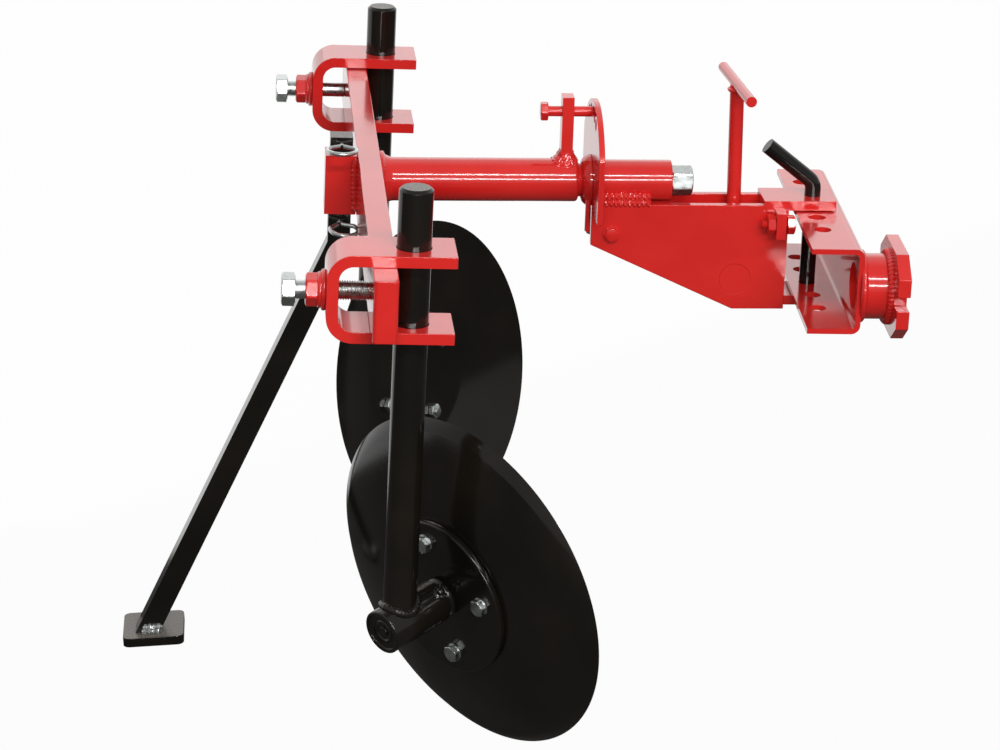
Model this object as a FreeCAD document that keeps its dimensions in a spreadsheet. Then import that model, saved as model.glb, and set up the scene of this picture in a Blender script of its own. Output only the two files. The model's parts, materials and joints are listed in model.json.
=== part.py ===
import FreeCAD, Part
import Sketcher
import os
import re

# Disc ridger for a two-wheel tractor, in millimetres.
# +X is forward (towards the tractor), +Y is left, +Z is up, and the floor is Z = 0.
# A crossbar on edge carries two clamps. Each clamp holds a round shank with a dished disc that
# rolls on a hub. A boom joins the middle of the crossbar to a hitch head, whose channel swings
# about a king pin and ends in the coupling flange. A pinned leg holds the ridger up when parked.
# Sizes below are measured in the ridger's level working pose: x from the crossbar's middle and z
# from the boom's axis. RAISED turns the boom slightly out of square with the crossbar, and PARKED
# leans the whole of it onto the floor.

SIZES = {
    # name: (millimetres or degrees, what it is)
    "bar_x": (-134.7, "crossbar's middle in the ridger's frame"),
    "lean": (4.6, "nose-down lean of the parked ridger, degrees"),
    "boom_rise": (1.05, "boom raised out of square with the crossbar, degrees"),
    "bar_thick": (25, "crossbar, along X"),
    "bar_high": (65, "crossbar, along Z"),
    "bar_long": (909, "crossbar, along Y"),
    "bar_round": (5, "rounding of the crossbar's upright end edges"),
    "bar_show": (42, "crossbar's end beyond the clamp"),
    "clamp_wide": (65, "clamp's flat bar, along Y"),
    "clamp_thick": (12, "clamp's flat bar, thickness"),
    "clamp_gap": (68, "clear height inside the clamp"),
    "clamp_back": (57, "clamp's rear wall behind the crossbar's middle"),
    "clamp_less": (5, "left clamp's rear wall nearer the crossbar than the right one's"),
    "clamp_sag": (1.4, "right clamp's middle below the crossbar's"),
    "clamp_front": (72, "clamp's open end ahead of the crossbar's middle"),
    "clamp_bend": (15, "clamp's inner bend radius"),
    "shank_dia": (35, "round shank"),
    "shank_top": (104, "shank's top above the boom's axis"),
    "shank_extra": (3, "right shank's extra height"),
    "shank_chamfer": (3, "chamfer of the shank's top"),
    "fit": (0.3, "clearance of a running or sliding fit, on the radius"),
    "screw_z": (-2, "clamp screws' axis"),
    "screw_turn": (-20, "turn of the clamp screws' heads and nuts, degrees"),
    "nut_flats": (30, "M20 nut and bolt head, across flats"),
    "nut_thick": (13, "weld nut"),
    "cone_long": (7, "weld round the nut, along X"),
    "cone_top": (28, "weld round the nut, its diameter at the nut"),
    "cone_foot": (40, "weld round the nut, its diameter at the clamp"),
    "screw_dia": (20, "clamp screw"),
    "screw_head": (14, "clamp screw's head, thickness"),
    "screw_show": (10, "bare thread between head and nut"),
    "hub_yaw": (40.2, "hub axis turned inwards from forward, degrees"),
    "hub_tilt": (11.2, "hub axis raised towards the disc, degrees"),
    "hub_drop": (365, "hub axis below the boom's axis at the shank"),
    "hub_dia": (48, "hub housing"),
    "hub_rear": (25.5, "hub housing behind the shank's axis, along the hub axis"),
    "hub_front": (52, "hub housing ahead of the shank's axis"),
    "recess_rim": (4, "rim round the recess in the housing's rear end"),
    "recess_deep": (2, "recess in the housing's rear end"),
    "axle_dia": (25, "hub axle"),
    "axle_rear": (20, "axle's inner end behind the shank's axis"),
    "hub_gap": (1, "gap between housing and collar"),
    "collar_dia": (38, "collar between housing and flange"),
    "flange_at": (60, "rear face of the hub flange from the shank's axis"),
    "flange_dia": (175, "hub flange"),
    "flange_thick": (8, "hub flange"),
    "disc_dia": (380, "disc"),
    "disc_thick": (4, "disc sheet"),
    "disc_depth": (30, "dish, from rim plane to flat centre on the hollow side"),
    "disc_flat": (90, "radius of the disc's flat centre"),
    "disc_bevel": (10, "width of the ground rim"),
    "rim_slope": (1.3, "dish's slope at the rim, against its mean slope"),
    "tube_dia": (48.3, "boom tube"),
    "tube_wall": (5, "boom tube's wall"),
    "tube_end": (234, "boom tube's front end"),
    "weld_dia": (64, "weld collar at the crossbar"),
    "weld_long": (12, "weld collar, along X"),
    "arm_x": (214, "rear face of the upright arm"),
    "arm_thick": (13, "upright arm, along X"),
    "arm_wide": (20, "upright arm, along Y"),
    "arm_top": (97, "upright arm's top"),
    "lock_z": (79, "lock bolt's axis"),
    "lock_dia": (12, "lock bolt"),
    "lock_flats": (19, "lock bolt's head, across flats"),
    "lock_head": (8, "lock bolt's head, thickness"),
    "lock_x": (190.5, "rear face of the lock bolt's head"),
    "spindle_dia": (30, "spindle that the head rolls on"),
    "spindle_end": (361, "spindle's front end"),
    "root_long": (30, "spindle's root inside the tube"),
    "ring_x": (237.5, "rear face of the spindle's ring"),
    "ring_dia": (58, "spindle's flared ring, its diameter at the quadrant plate"),
    "ring_foot": (36, "spindle's ring, its diameter at its rear face"),
    "pin_drop": (53.5, "lower end of the small pin below the ring"),
    "pin_dia": (6, "small pin below the ring"),
    "pin_side": (-20, "small pin's place along Y"),
    "quad_x": (249, "rear face of the quadrant plate"),
    "quad_thick": (6.5, "quadrant plate"),
    "quad_half": (80, "quadrant plate's half width"),
    "quad_top": (91, "radius of the quadrant plate's top"),
    "quad_low": (28, "quadrant plate's lower edge below the axis"),
    "hole_dia": (13, "lock holes in the quadrant plate"),
    "hole_step": (12, "angle between lock holes, degrees"),
    "sleeve_dia": (46, "bearing sleeve"),
    "sleeve_end": (339, "bearing sleeve's front end"),
    "bead": (9, "weld beads between sleeve and side plates"),
    "bead_end": (315, "front end of those beads"),
    "head_nut": (24, "spindle nut, thickness"),
    "head_flats": (30, "spindle nut, across flats"),
    "side_thick": (9, "side plate"),
    "side_gap": (34, "clear width between the side plates"),
    "side_rear": (249, "side plates' rear edge"),
    "side_nose": (30, "side plates' front edge behind the king pin"),
    "side_top": (-21, "side plates' top edge"),
    "side_rear_low": (-68, "lower end of the side plates' rear edge"),
    "side_low": (-143, "side plates' lower edge"),
    "side_slope": (89, "rear end of the side plates' lower edge behind the king pin"),
    "pivot_back": (87, "trunnion's axis behind the king pin"),
    "pivot_z": (-107.5, "trunnion's axis"),
    "pivot_dia": (35, "trunnion"),
    "cross_x": (272, "cross bolt's axis"),
    "cross_z": (-55, "cross bolt's axis"),
    "cross_dia": (10, "cross bolt"),
    "cross_flats": (16, "cross bolt's head, across flats"),
    "cross_head": (6, "cross bolt's head and nut"),
    "cross_show": (3, "thread beyond the cross bolt's nut"),
    "tongue_nose": (23, "front edge of the two hitch plates ahead of the king pin"),
    "tongue_wide": (52, "hitch plates, along Y"),
    "tongue_top": (-16, "upper hitch plate's top face"),
    "tongue_thick": (11, "hitch plates"),
    "tongue_back": (58, "upper hitch plate's rear edge behind the king pin"),
    "tongue_gap": (1.5, "gap between the channel and the hitch plates"),
    "stem_dia": (16, "T screw"),
    "stem_lean": (1.4, "T screw's lean to the rear, degrees"),
    "tee_turn": (3.4, "T bar's turn about the screw, degrees"),
    "stem_long": (219, "T screw, from the trunnion to the T bar's axis"),
    "tee_dia": (12, "T bar"),
    "tee_long": (150, "T bar, along Y"),
    "lug_back": (47, "stop lugs' rear face behind the king pin"),
    "lug_thick": (11, "stop lugs, along X"),
    "lug_wide": (23, "stop lugs, along Y"),
    "lug_top": (-24, "stop lugs' top"),
    "lug_low": (-54, "stop lugs' lower edge"),
    "stop_z": (-39.5, "stop bolts' axis"),
    "stop_dia": (10, "stop bolts"),
    "stop_flats": (20, "stop bolt heads and nuts, across flats"),
    "stop_head": (9, "stop bolt head and jam nut, thickness"),
    "stop_show": (6, "stop bolts' thread behind the jam nut"),
    "stop_gap": (1.9, "gap between stop bolt heads and channel"),
    "king_x": (501, "king pin's axis"),
    "king_dia": (18, "king pin"),
    "king_low": (-150, "king pin's lower end"),
    "king_bend": (14, "radius of the king pin's bend"),
    "king_turn": (52, "king pin's bend, degrees"),
    "king_rise": (8, "start of the bend above the tongue's top"),
    "king_handle": (62, "king pin's handle, straight length"),
    "swing": (-2, "channel's turn about the king pin, degrees"),
    "chan_thick": (6, "channel's wall"),
    "chan_wide": (58, "channel, along X"),
    "chan_back": (21, "channel's free edges behind the king pin"),
    "chan_bend": (4, "channel's inner bend radius"),
    "chan_high": (97, "channel, along Z"),
    "chan_near": (160, "channel's right end from the king pin"),
    "chan_far": (142, "channel's left end from the king pin"),
    "chan_hole": (19, "channel's holes"),
    "chan_step": (45, "channel's hole spacing"),
    "stub_dia": (72, "coupling tube"),
    "stub_bore": (52, "coupling tube's bore"),
    "stub_y": (-130, "coupling's axis from the king pin"),
    "stub_z": (-79.5, "coupling's axis"),
    "stub_long": (32.5, "coupling tube, along X"),
    "coup_wide": (128, "coupling flange, along Y"),
    "coup_high": (96, "coupling flange, along Z"),
    "coup_thick": (14, "coupling flange"),
    "coup_cut_y": (28, "coupling flange's cut corners, along Y"),
    "coup_cut_z": (20, "coupling flange's cut corners, along Z"),
    "notch_high": (16, "coupling flange's side notches"),
    "notch_deep": (21, "coupling flange's side notches"),
    "post_wide": (35, "stand sleeve"),
    "post_high": (67.5, "stand sleeve"),
    "post_top": (30.5, "stand sleeve's top"),
    "leg_wide": (25, "stand bar"),
    "leg_top": (50, "stand bar's top"),
    "leg_bend": (-73, "stand bar's bend"),
    "leg_angle": (23.4, "stand bar's slope from upright, degrees"),
    "leg_run": (560, "sloping bar's length before it is cut off at the foot plate"),
    "foot_long": (70, "foot plate, along X"),
    "foot_wide": (73, "foot plate, along Y"),
    "foot_thick": (11, "foot plate"),
    "foot_round": (8, "foot plate's corners"),
    "foot_ahead": (6.5, "foot plate's middle ahead of the bar's"),
    "foot_left": (9, "foot plate's middle left of the bar's"),
    "lynch_dia": (6, "lynch pins"),
    "lynch_tip": (10, "lynch pins' points beyond the stand bar"),
    "lynch_head": (9, "lynch pin heads, along Y"),
    "lynch_head_dia": (11, "lynch pin heads"),
    "lynch_ring": (31, "lynch pin rings, across their middle line"),
    "lynch_wire": (5, "lynch pin rings' wire"),
    "lynch_out": (11, "gap between the sleeve's ends and the lynch pins' middle"),
    "upper_droop": (-5, "upper ring's droop from level, degrees"),
    "upper_swing": (0, "upper ring's turn towards the crossbar, degrees"),
    "lower_droop": (8, "lower ring's droop from level, degrees"),
    "lower_swing": (19, "lower ring's turn towards the crossbar, degrees"),
}

SHANK_X = "(bar_thick / 2 + shank_dia / 2)"
CLAMP_Y = "(bar_long / 2 - bar_show - clamp_wide / 2)"

# The ridger leans nose-down until both discs and the stand's foot touch the floor. The boom's
# axis at the crossbar is then this high: the rim's centre above it, in the ridger's own frame,
# and the drop from there to the rim's lowest point.
RIM_OUT = "(flange_at + flange_thick + disc_thick + disc_depth)"
RIM_X = f"({SHANK_X} + {RIM_OUT} * cos(hub_tilt) * cos(hub_yaw))"
RIM_Z = f"({RIM_OUT} * sin(hub_tilt) - hub_drop)"
RIM_RISE = "(sin(hub_tilt) * cos(lean) - cos(hub_tilt) * cos(hub_yaw) * sin(lean))"
AXIS_Z = (f"(disc_dia / 2 * sqrt(1 - {RIM_RISE} ^ 2) + {RIM_X} * sin(lean)"
          f" - {RIM_Z} * cos(lean))")
PARKED = f"placement(vector(bar_x; 0; {AXIS_Z}); rotation(vector(0; 1; 0); lean))"
RAISED = f"{PARKED} * placement(vector(0; 0; 0); rotation(vector(0; 1; 0); -boom_rise))"

doc = FreeCAD.newDocument("DiscRidger")
sheet = doc.addObject("Spreadsheet::Sheet", "Sizes")
for row, (name, (size, note)) in enumerate(SIZES.items(), start=1):
    sheet.set(f"A{row}", name)
    sheet.set(f"B{row}", str(size))
    sheet.set(f"C{row}", note)
    sheet.setAlias(f"B{row}", name)
doc.recompute()

ALIAS = re.compile(r"\b(" + "|".join(SIZES) + r")\b")
pieces = []


def formula(text):
    """Turn a formula of size names into an expression on the sheet."""
    return ALIAS.sub(r"Sizes.\1", str(text))


def bind(obj, **sizes):
    """Bind an object's properties to formulas."""
    for prop, text in sizes.items():
        obj.setExpression(prop, formula(text))
    return obj


def turned(axis, angle):
    """Expression of a rotation about a named axis."""
    unit = {"X": "1; 0; 0", "Y": "0; 1; 0", "Z": "0; 0; 1"}[axis]
    return f"rotation(vector({unit}); {angle})"


def offset(x, y, z, axis="Z", angle=0):
    """Expression of a place inside another frame."""
    return f"placement(vector({x}; {y}; {z}); {turned(axis, angle)})"


def at(x, y, z, axis="Z", angle=0):
    """Expression of a place given in the crossbar's frame."""
    return f"{PARKED} * {offset(x, y, z, axis, angle)}"


def on_boom(x, y, z, axis="Z", angle=0):
    """Expression of a place given along the boom, which also carries the hitch head."""
    return f"{RAISED} * {offset(x, y, z, axis, angle)}"


def place(obj, where):
    """Bind an object's placement."""
    obj.setExpression("Placement", formula(where))
    return obj


def primitive(kind, where, **sizes):
    """Add one bound Part primitive at a place."""
    return place(bind(doc.addObject("Part::" + kind, kind), **sizes), where)


def box(where, along_x, along_y, along_z):
    return primitive("Box", where, Length=along_x, Width=along_y, Height=along_z)


def rod(where, dia, length):
    return primitive("Cylinder", where, Radius=f"({dia}) / 2", Height=length)


def hexagon(where, flats, thick):
    """Hexagonal prism given by its width across flats."""
    prism = primitive("Prism", where, Circumradius=f"({flats}) / sqrt(3)", Height=thick)
    prism.Polygon = 6
    return prism


def cut(base, *tools):
    """Cut tools from a base, one after the other."""
    for tool in tools:
        result = doc.addObject("Part::Cut", "Cut")
        result.Base = base
        result.Tool = tool
        base = result
    return base


def fuse(*shapes):
    result = doc.addObject("Part::MultiFuse", "Fusion")
    result.Shapes = list(shapes)
    result.Refine = True
    return result


def piece(node, obj):
    """Name a finished sub-part."""
    obj.Label = node
    pieces.append(obj)
    return obj


def sketch_on(body, role):
    """Add a sketch on one of the body's own origin planes."""
    plane = next(f for f in body.Origin.OriginFeatures if f.Role == role)
    sketch = body.newObject("Sketcher::SketchObject", "Sketch")
    sketch.AttachmentSupport = [(plane, "")]
    sketch.MapMode = "FlatFace"
    return sketch


def value(text):
    """Number that a formula gives now, to draw a sketch close to its final shape."""
    numbers = {name: size for name, (size, _) in SIZES.items()}
    terms = ALIAS.sub(lambda found: str(numbers[found.group(1)]), str(text))
    return float(FreeCAD.Units.Quantity(f"1 * ({terms})").Value)


def pin_point(sketch, edge, end, x, y):
    """Hold one end of a sketch edge at bound coordinates."""
    for kind, text in (("DistanceX", x), ("DistanceY", y)):
        number = sketch.addConstraint(
            Sketcher.Constraint(kind, -1, 1, edge, end, value(text)))
        sketch.setExpression(f"Constraints[{number}]", formula(text))


def outline(sketch, points):
    """Draw a closed outline of straight lines through bound points."""
    vectors = [FreeCAD.Vector(value(x), value(y), 0) for x, y in points]
    count = len(points)
    for i in range(count):
        sketch.addGeometry(Part.LineSegment(vectors[i], vectors[(i + 1) % count]))
    for i, (x, y) in enumerate(points):
        sketch.addConstraint(Sketcher.Constraint("Coincident", i, 2, (i + 1) % count, 1))
        pin_point(sketch, i, 1, x, y)


def edges_where(shape, test):
    """Names of the edges whose middle point and direction pass a test."""
    names = []
    for i, edge in enumerate(shape.Edges, start=1):
        middle = edge.valueAt((edge.FirstParameter + edge.LastParameter) / 2)
        along = edge.Vertexes[-1].Point - edge.Vertexes[0].Point
        if along.Length > 0 and test(middle, along.normalize()):
            names.append(f"Edge{i}")
    return names


def dress(body, kind, base, test, **sizes):
    """Add a fillet or chamfer on the edges that pass a test."""
    doc.recompute()
    feature = body.newObject("PartDesign::" + kind, kind)
    feature.Base = (base, edges_where(base.Shape, test))
    bind(feature, **sizes)
    return feature


def plate_body(role, points, thick):
    """Body of a flat outline on an origin plane, padded evenly to both sides."""
    body = doc.addObject("PartDesign::Body", "Body")
    sketch = sketch_on(body, role)
    outline(sketch, points)
    pad = body.newObject("PartDesign::Pad", "Pad")
    pad.Profile = sketch
    pad.Midplane = True
    bind(pad, Length=thick)
    body.Tip = pad
    sketch.Visibility = False
    return body, pad


# ---------------------------------------------------------------- crossbar and boom

def crossbar():
    half_x, half_z = "bar_thick / 2", "bar_high / 2"
    corners = [(f"-{half_x}", f"-{half_z}"), (half_x, f"-{half_z}"), (half_x, half_z),
               (f"-{half_x}", half_z)]
    body, pad = plate_body("XZ_Plane", corners, "bar_long")
    dress(body, "Fillet", pad, lambda mid, way: abs(way.z) > 0.9, Radius="bar_round")
    piece("crossbar", place(body, at(0, 0, 0)))


def boom_tube():
    """Tube welded to the crossbar's front face, with a flared weld."""
    start = on_boom(0, 0, 0, "Y", 90)
    tube = rod(start, "tube_dia", "tube_end")
    weld = primitive("Cone", start, Radius1="weld_dia / 2", Radius2="tube_dia / 2",
                     Height="bar_thick / 2 + weld_long")
    bore = rod(start, "tube_dia - 2 * tube_wall", "tube_end + 1")
    bar = box(at("-bar_thick / 2", "-bar_high", "-bar_high"), "bar_thick", "2 * bar_high",
              "2 * bar_high")
    piece("boom_tube", cut(fuse(tube, weld), bore, bar))


def boom_arm():
    """Upright that holds the lock bolt, notched over the tube."""
    plate = box(on_boom("arm_x", "-arm_wide / 2", 0), "arm_thick", "arm_wide", "arm_top")
    tube = rod(on_boom("arm_x - 1", 0, 0, "Y", 90), "tube_dia", "arm_thick + 2")
    hole = rod(on_boom("arm_x - 1", 0, "lock_z", "Y", 90), "lock_dia", "arm_thick + 2")
    piece("boom_arm", cut(plate, tube, hole))


def lock_bolt():
    """Bolt through the arm that bears on the quadrant plate."""
    head = hexagon(on_boom("lock_x", 0, "lock_z", "Y", 90), "lock_flats", "lock_head")
    shaft = rod(on_boom("lock_x", 0, "lock_z", "Y", 90), "lock_dia", "quad_x - lock_x - fit")
    piece("lock_bolt", fuse(head, shaft))


def boom_spindle():
    """Stepped spindle welded into the tube, with a flared ring and a small pin below it."""
    root = rod(on_boom("tube_end - root_long", 0, 0, "Y", 90), "tube_dia - 2 * tube_wall",
               "ring_x - tube_end + root_long")
    ring = primitive("Cone", on_boom("ring_x", 0, 0, "Y", 90), Radius1="ring_foot / 2",
                     Radius2="ring_dia / 2", Height="quad_x - fit - ring_x")
    shaft = rod(on_boom("ring_x", 0, 0, "Y", 90), "spindle_dia", "sleeve_end - ring_x")
    thread = rod(on_boom("ring_x", 0, 0, "Y", 90), "screw_dia", "spindle_end - ring_x")
    pin = rod(on_boom("quad_x - 2 * fit - pin_dia / 2", "pin_side", "-pin_drop"), "pin_dia",
              "pin_drop")
    piece("boom_spindle", fuse(fuse(ring, shaft), root, thread, pin))


# ---------------------------------------------------------------- hitch head

UPPER_LOW = "(tongue_top - tongue_thick)"
CHAN_TOP = f"({UPPER_LOW} - tongue_gap)"
CHAN_LOW = f"({CHAN_TOP} - chan_high)"
LOWER_LOW = f"({CHAN_LOW} - tongue_gap - tongue_thick)"
PIVOT_X = "(king_x - pivot_back)"
SIDE_FRONT = "(king_x - side_nose)"
PLATE_REAR = "(king_x - tongue_back)"
LUG_X = "(king_x - lug_back)"
SCREW = on_boom(PIVOT_X, 0, "pivot_z", "Y", "-stem_lean")


def quadrant_plate():
    """Sector plate behind the bearing sleeve: a row of lock holes, slots for the side plates."""
    low = "-quad_low"
    width = "2 * quad_half"
    plate = box(on_boom("quad_x", "-quad_half", low), "quad_thick", width, "quad_low + quad_top")
    top = rod(on_boom("quad_x", 0, 0, "Y", 90), "2 * quad_top", "quad_thick")
    rounded = doc.addObject("Part::MultiCommon", "Common")
    rounded.Shapes = [plate, top]
    bore = rod(on_boom("quad_x - 1", 0, 0, "Y", 90), "spindle_dia + 2 * fit", "quad_thick + 2")
    holes = []
    for step in range(-2, 3):
        angle = f"({step} * hole_step)"
        holes.append(rod(on_boom("quad_x - 1", f"lock_z * sin({angle})", f"lock_z * cos({angle})",
                            "Y", 90), "hole_dia", "quad_thick + 2"))
    slots = [box(on_boom("quad_x - 1", f"{side} * (side_gap + side_thick) / 2 - side_thick / 2",
                    "-quad_low - 1"),
                 "quad_thick + 2", "side_thick", "quad_low + 1 + side_top")
             for side in (-1, 1)]
    piece("quadrant_plate", cut(rounded, bore, *holes, *slots))


def bearing_sleeve():
    start = "quad_x + quad_thick"
    tube = rod(on_boom(start, 0, 0, "Y", 90), "sleeve_dia", f"sleeve_end - ({start})")
    bore = rod(on_boom(start, 0, 0, "Y", 90), "spindle_dia + 2 * fit", "sleeve_end")
    beads = [box(on_boom(start, f"{side} * (side_gap + side_thick) / 2 - bead / 2", "side_top"),
                 f"bead_end - ({start})", "bead", "bead") for side in (-1, 1)]
    piece("bearing_sleeve", cut(fuse(tube, *beads), bore))


def spindle_nut():
    nut = hexagon(on_boom("sleeve_end + fit", 0, 0, "Y", 90), "head_flats", "head_nut")
    bore = rod(on_boom("sleeve_end - 1", 0, 0, "Y", 90), "screw_dia", "head_nut + 3")
    piece("spindle_nut", cut(nut, bore))


def side_plates():
    """Upright plates with a step at the front for the upper hitch plate."""
    points = [("side_rear", "side_rear_low"), ("king_x - side_slope", "side_low"),
              (SIDE_FRONT, "side_low"), (SIDE_FRONT, UPPER_LOW),
              (PLATE_REAR, UPPER_LOW), (PLATE_REAR, "side_top"),
              ("side_rear", "side_top")]
    for name, side in (("right", -1), ("left", 1)):
        body, pad = plate_body("XZ_Plane", points, "side_thick")
        middle = f"{side} * (side_gap + side_thick) / 2"
        place(body, on_boom(0, middle, 0))
        start = f"{middle} - side_thick / 2 - 1"
        pivot = rod(on_boom(PIVOT_X, start, "pivot_z", "X", -90), "pivot_dia", "side_thick + 2")
        bolt = rod(on_boom("cross_x", start, "cross_z", "X", -90), "cross_dia", "side_thick + 2")
        piece(f"{name}_side_plate", cut(body, pivot, bolt))


def trunnion():
    """Round cross bar, welded flush into both side plates and tapped for the T screw."""
    half = "(side_gap / 2 + side_thick)"
    bar = rod(on_boom(PIVOT_X, f"-{half}", "pivot_z", "X", -90), "pivot_dia", f"2 * {half}")
    hole = rod(SCREW, "stem_dia", "pivot_dia")
    piece("trunnion", cut(bar, hole))


def cross_bolt():
    half = "(side_gap / 2 + side_thick)"
    head = hexagon(on_boom("cross_x", f"-{half} - cross_head", "cross_z", "X", -90),
                   "cross_flats", "cross_head")
    nut = hexagon(on_boom("cross_x", half, "cross_z", "X", -90), "cross_flats", "cross_head")
    shaft = rod(on_boom("cross_x", f"-{half}", "cross_z", "X", -90), "cross_dia",
                f"2 * {half} + cross_head + cross_show")
    piece("cross_bolt", fuse(head, nut, shaft))


def hitch_plates():
    """Upper and lower plates that hold the channel between them on the king pin."""
    levels = (("upper", PLATE_REAR, UPPER_LOW), ("lower", SIDE_FRONT, LOWER_LOW))
    for name, rear, low in levels:
        plate = box(on_boom(rear, "-tongue_wide / 2", low), f"king_x + tongue_nose - {rear}",
                    "tongue_wide", "tongue_thick")
        hole = rod(on_boom("king_x", 0, f"{low} - 1"), "king_dia", "tongue_thick + 2")
        piece(f"{name}_hitch_plate", cut(plate, hole))


def t_screw():
    """Screw with a T bar that runs down between the side plates into the trunnion."""
    stem = rod(SCREW, "stem_dia", "stem_long")
    turn = offset(0, 0, "stem_long", "Z", "tee_turn")
    bar = rod(f"{SCREW} * {turn} * {offset(0, '-tee_long / 2', 0, 'X', -90)}", "tee_dia",
              "tee_long")
    piece("t_screw", fuse(stem, bar))


def stop_lugs_and_bolts():
    """Lugs outside the side plates, each with a bolt that stops the channel's swing."""
    for name, side in (("right", -1), ("left", 1)):
        middle = f"{side} * (side_gap / 2 + side_thick + lug_wide / 2)"
        plate = box(on_boom(LUG_X, f"{middle} - lug_wide / 2", "lug_low"), "lug_thick",
                    "lug_wide", "lug_top - lug_low")
        hole = rod(on_boom(f"{LUG_X} - 1", middle, "stop_z", "Y", 90), "stop_dia",
                   "lug_thick + 2")
        piece(f"{name}_stop_lug", cut(plate, hole))
        face = (f"(king_x - {middle} * tan(swing) - chan_back / cos(swing)"
                " - stop_flats / 2 * abs(sin(swing)) - stop_gap)")
        nut = hexagon(on_boom(f"{LUG_X} - stop_head", middle, "stop_z", "Y", 90), "stop_flats",
                      "stop_head")
        head = hexagon(on_boom(f"{face} - stop_head", middle, "stop_z", "Y", 90), "stop_flats",
                       "stop_head")
        shaft = rod(on_boom(f"{LUG_X} - stop_head - stop_show", middle, "stop_z", "Y", 90),
                    "stop_dia", f"{face} - {LUG_X} + stop_show")
        piece(f"{name}_stop_bolt", fuse(nut, head, shaft))


def king_pin():
    """Round bar: upright through the hitch plates, then bent back into a handle."""
    top = "(tongue_top + king_rise)"
    shaft = rod(on_boom("king_x", 0, "king_low"), "king_dia", f"{top} - king_low")
    bend = primitive("Torus", on_boom("king_x - king_bend", 0, top, "X", 90),
                     Radius1="king_bend", Radius2="king_dia / 2", Angle3="king_turn")
    end_x = "king_x - king_bend + king_bend * cos(king_turn)"
    handle = rod(on_boom(end_x, 0, f"{top} + king_bend * sin(king_turn)", "Y", "-king_turn"),
                 "king_dia", "king_handle")
    piece("king_pin", fuse(shaft, bend, handle))


# ---------------------------------------------------------------- channel and coupling

SWUNG = on_boom("king_x", 0, 0, "Z", "swing")
WEB = "(chan_wide - chan_back)"


def on_channel(x, y, z, axis="Z", angle=0):
    """Expression of a place in the channel's own frame, turned about the king pin."""
    return f"{SWUNG} * {offset(x, y, z, axis, angle)}"


def channel():
    """Bent channel, open to the rear, with rows of holes for the king pin."""
    free, web, inner = "-chan_back", WEB, f"({WEB} - chan_thick)"
    low, high = CHAN_LOW, CHAN_TOP
    points = [(free, low), (web, low), (web, high), (free, high),
              (free, f"{high} - chan_thick"), (inner, f"{high} - chan_thick"),
              (inner, f"{low} + chan_thick"), (free, f"{low} + chan_thick")]
    body, pad = plate_body("XZ_Plane", points, "chan_near + chan_far")
    web_x, inner_x = value(web), value(inner)

    def outer_bend(mid, way):
        return abs(way.y) > 0.9 and abs(mid.x - web_x) < 0.1

    def inner_bend(mid, way):
        return abs(way.y) > 0.9 and abs(mid.x - inner_x) < 0.1

    fillet = dress(body, "Fillet", pad, outer_bend, Radius="chan_bend + chan_thick")
    dress(body, "Fillet", fillet, inner_bend, Radius="chan_bend")
    place(body, on_channel(0, "(chan_far - chan_near) / 2", 0))
    holes = []
    for step in range(-2, 3):
        dia = "king_dia + 2 * fit" if step == 0 else "chan_hole"
        holes.append(rod(on_channel(0, f"{step} * chan_step", f"{low} - 1"), dia,
                         "chan_high + 2"))
    holes.append(rod(on_channel(f"{inner} - 1", "stub_y", "stub_z", "Y", 90), "stub_bore",
                     "chan_thick + 2"))
    piece("channel", cut(body, *holes))


def coupling_tube():
    tube = rod(on_channel(WEB, "stub_y", "stub_z", "Y", 90), "stub_dia",
               "stub_long")
    bore = rod(on_channel(WEB, "stub_y", "stub_z", "Y", 90), "stub_bore",
               "stub_long + 1")
    piece("coupling_tube", cut(tube, bore))


def coupling_flange():
    """Eight-sided flange with a notch in each side."""
    y, z = "coup_wide / 2", "coup_high / 2"
    low_y, low_z = f"{y} - coup_cut_y", f"{z} - coup_cut_z"
    points = [(f"-({y})", f"-({low_z})"), (f"-({low_y})", f"-({z})"), (low_y, f"-({z})"),
              (y, f"-({low_z})"), (y, low_z), (low_y, z), (f"-({low_y})", z),
              (f"-({y})", low_z)]
    body, pad = plate_body("YZ_Plane", points, "coup_thick")
    rear = f"{WEB} + stub_long"
    place(body, on_channel(f"{rear} + coup_thick / 2", "stub_y", "stub_z"))
    notches = [box(on_channel(f"{rear} - 1", f"stub_y + {start}", "stub_z - notch_high / 2"),
                   "coup_thick + 2", "notch_deep + 1", "notch_high")
               for start in ("(-coup_wide / 2 - 1)", "(coup_wide / 2 - notch_deep)")]
    bore = rod(on_channel(f"{rear} - 1", "stub_y", "stub_z", "Y", 90), "stub_bore",
               "coup_thick + 2")
    piece("coupling_flange", cut(body, *notches, bore))


# ---------------------------------------------------------------- parking stand

POST_X = "(-(bar_thick + post_wide) / 2)"
BEND_X = f"(bar_x + {POST_X} * cos(lean) + leg_bend * sin(lean))"
BEND_Z = f"({AXIS_Z} - {POST_X} * sin(lean) + leg_bend * cos(lean))"
FOOT_X = f"({BEND_X} - ({BEND_Z} - foot_thick) * tan(leg_angle + lean) + foot_ahead)"
LYNCH_ENDS = (("upper", "(post_top + lynch_out)"), ("lower", "(post_top - post_high - lynch_out)"))
LYNCH_Y = "(-leg_wide / 2 - lynch_head)"


def stand_sleeve():
    """Square sleeve welded to the crossbar's rear face."""
    low = "post_top - post_high"
    outer = box(at(f"{POST_X} - post_wide / 2", "-post_wide / 2", low), "post_wide",
                "post_wide", "post_high")
    bore = box(at(f"{POST_X} - leg_wide / 2 - fit", "-leg_wide / 2 - fit", f"{low} - 1"),
               "leg_wide + 2 * fit", "leg_wide + 2 * fit", "post_high + 2")
    piece("stand_sleeve", cut(outer, bore))


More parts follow.
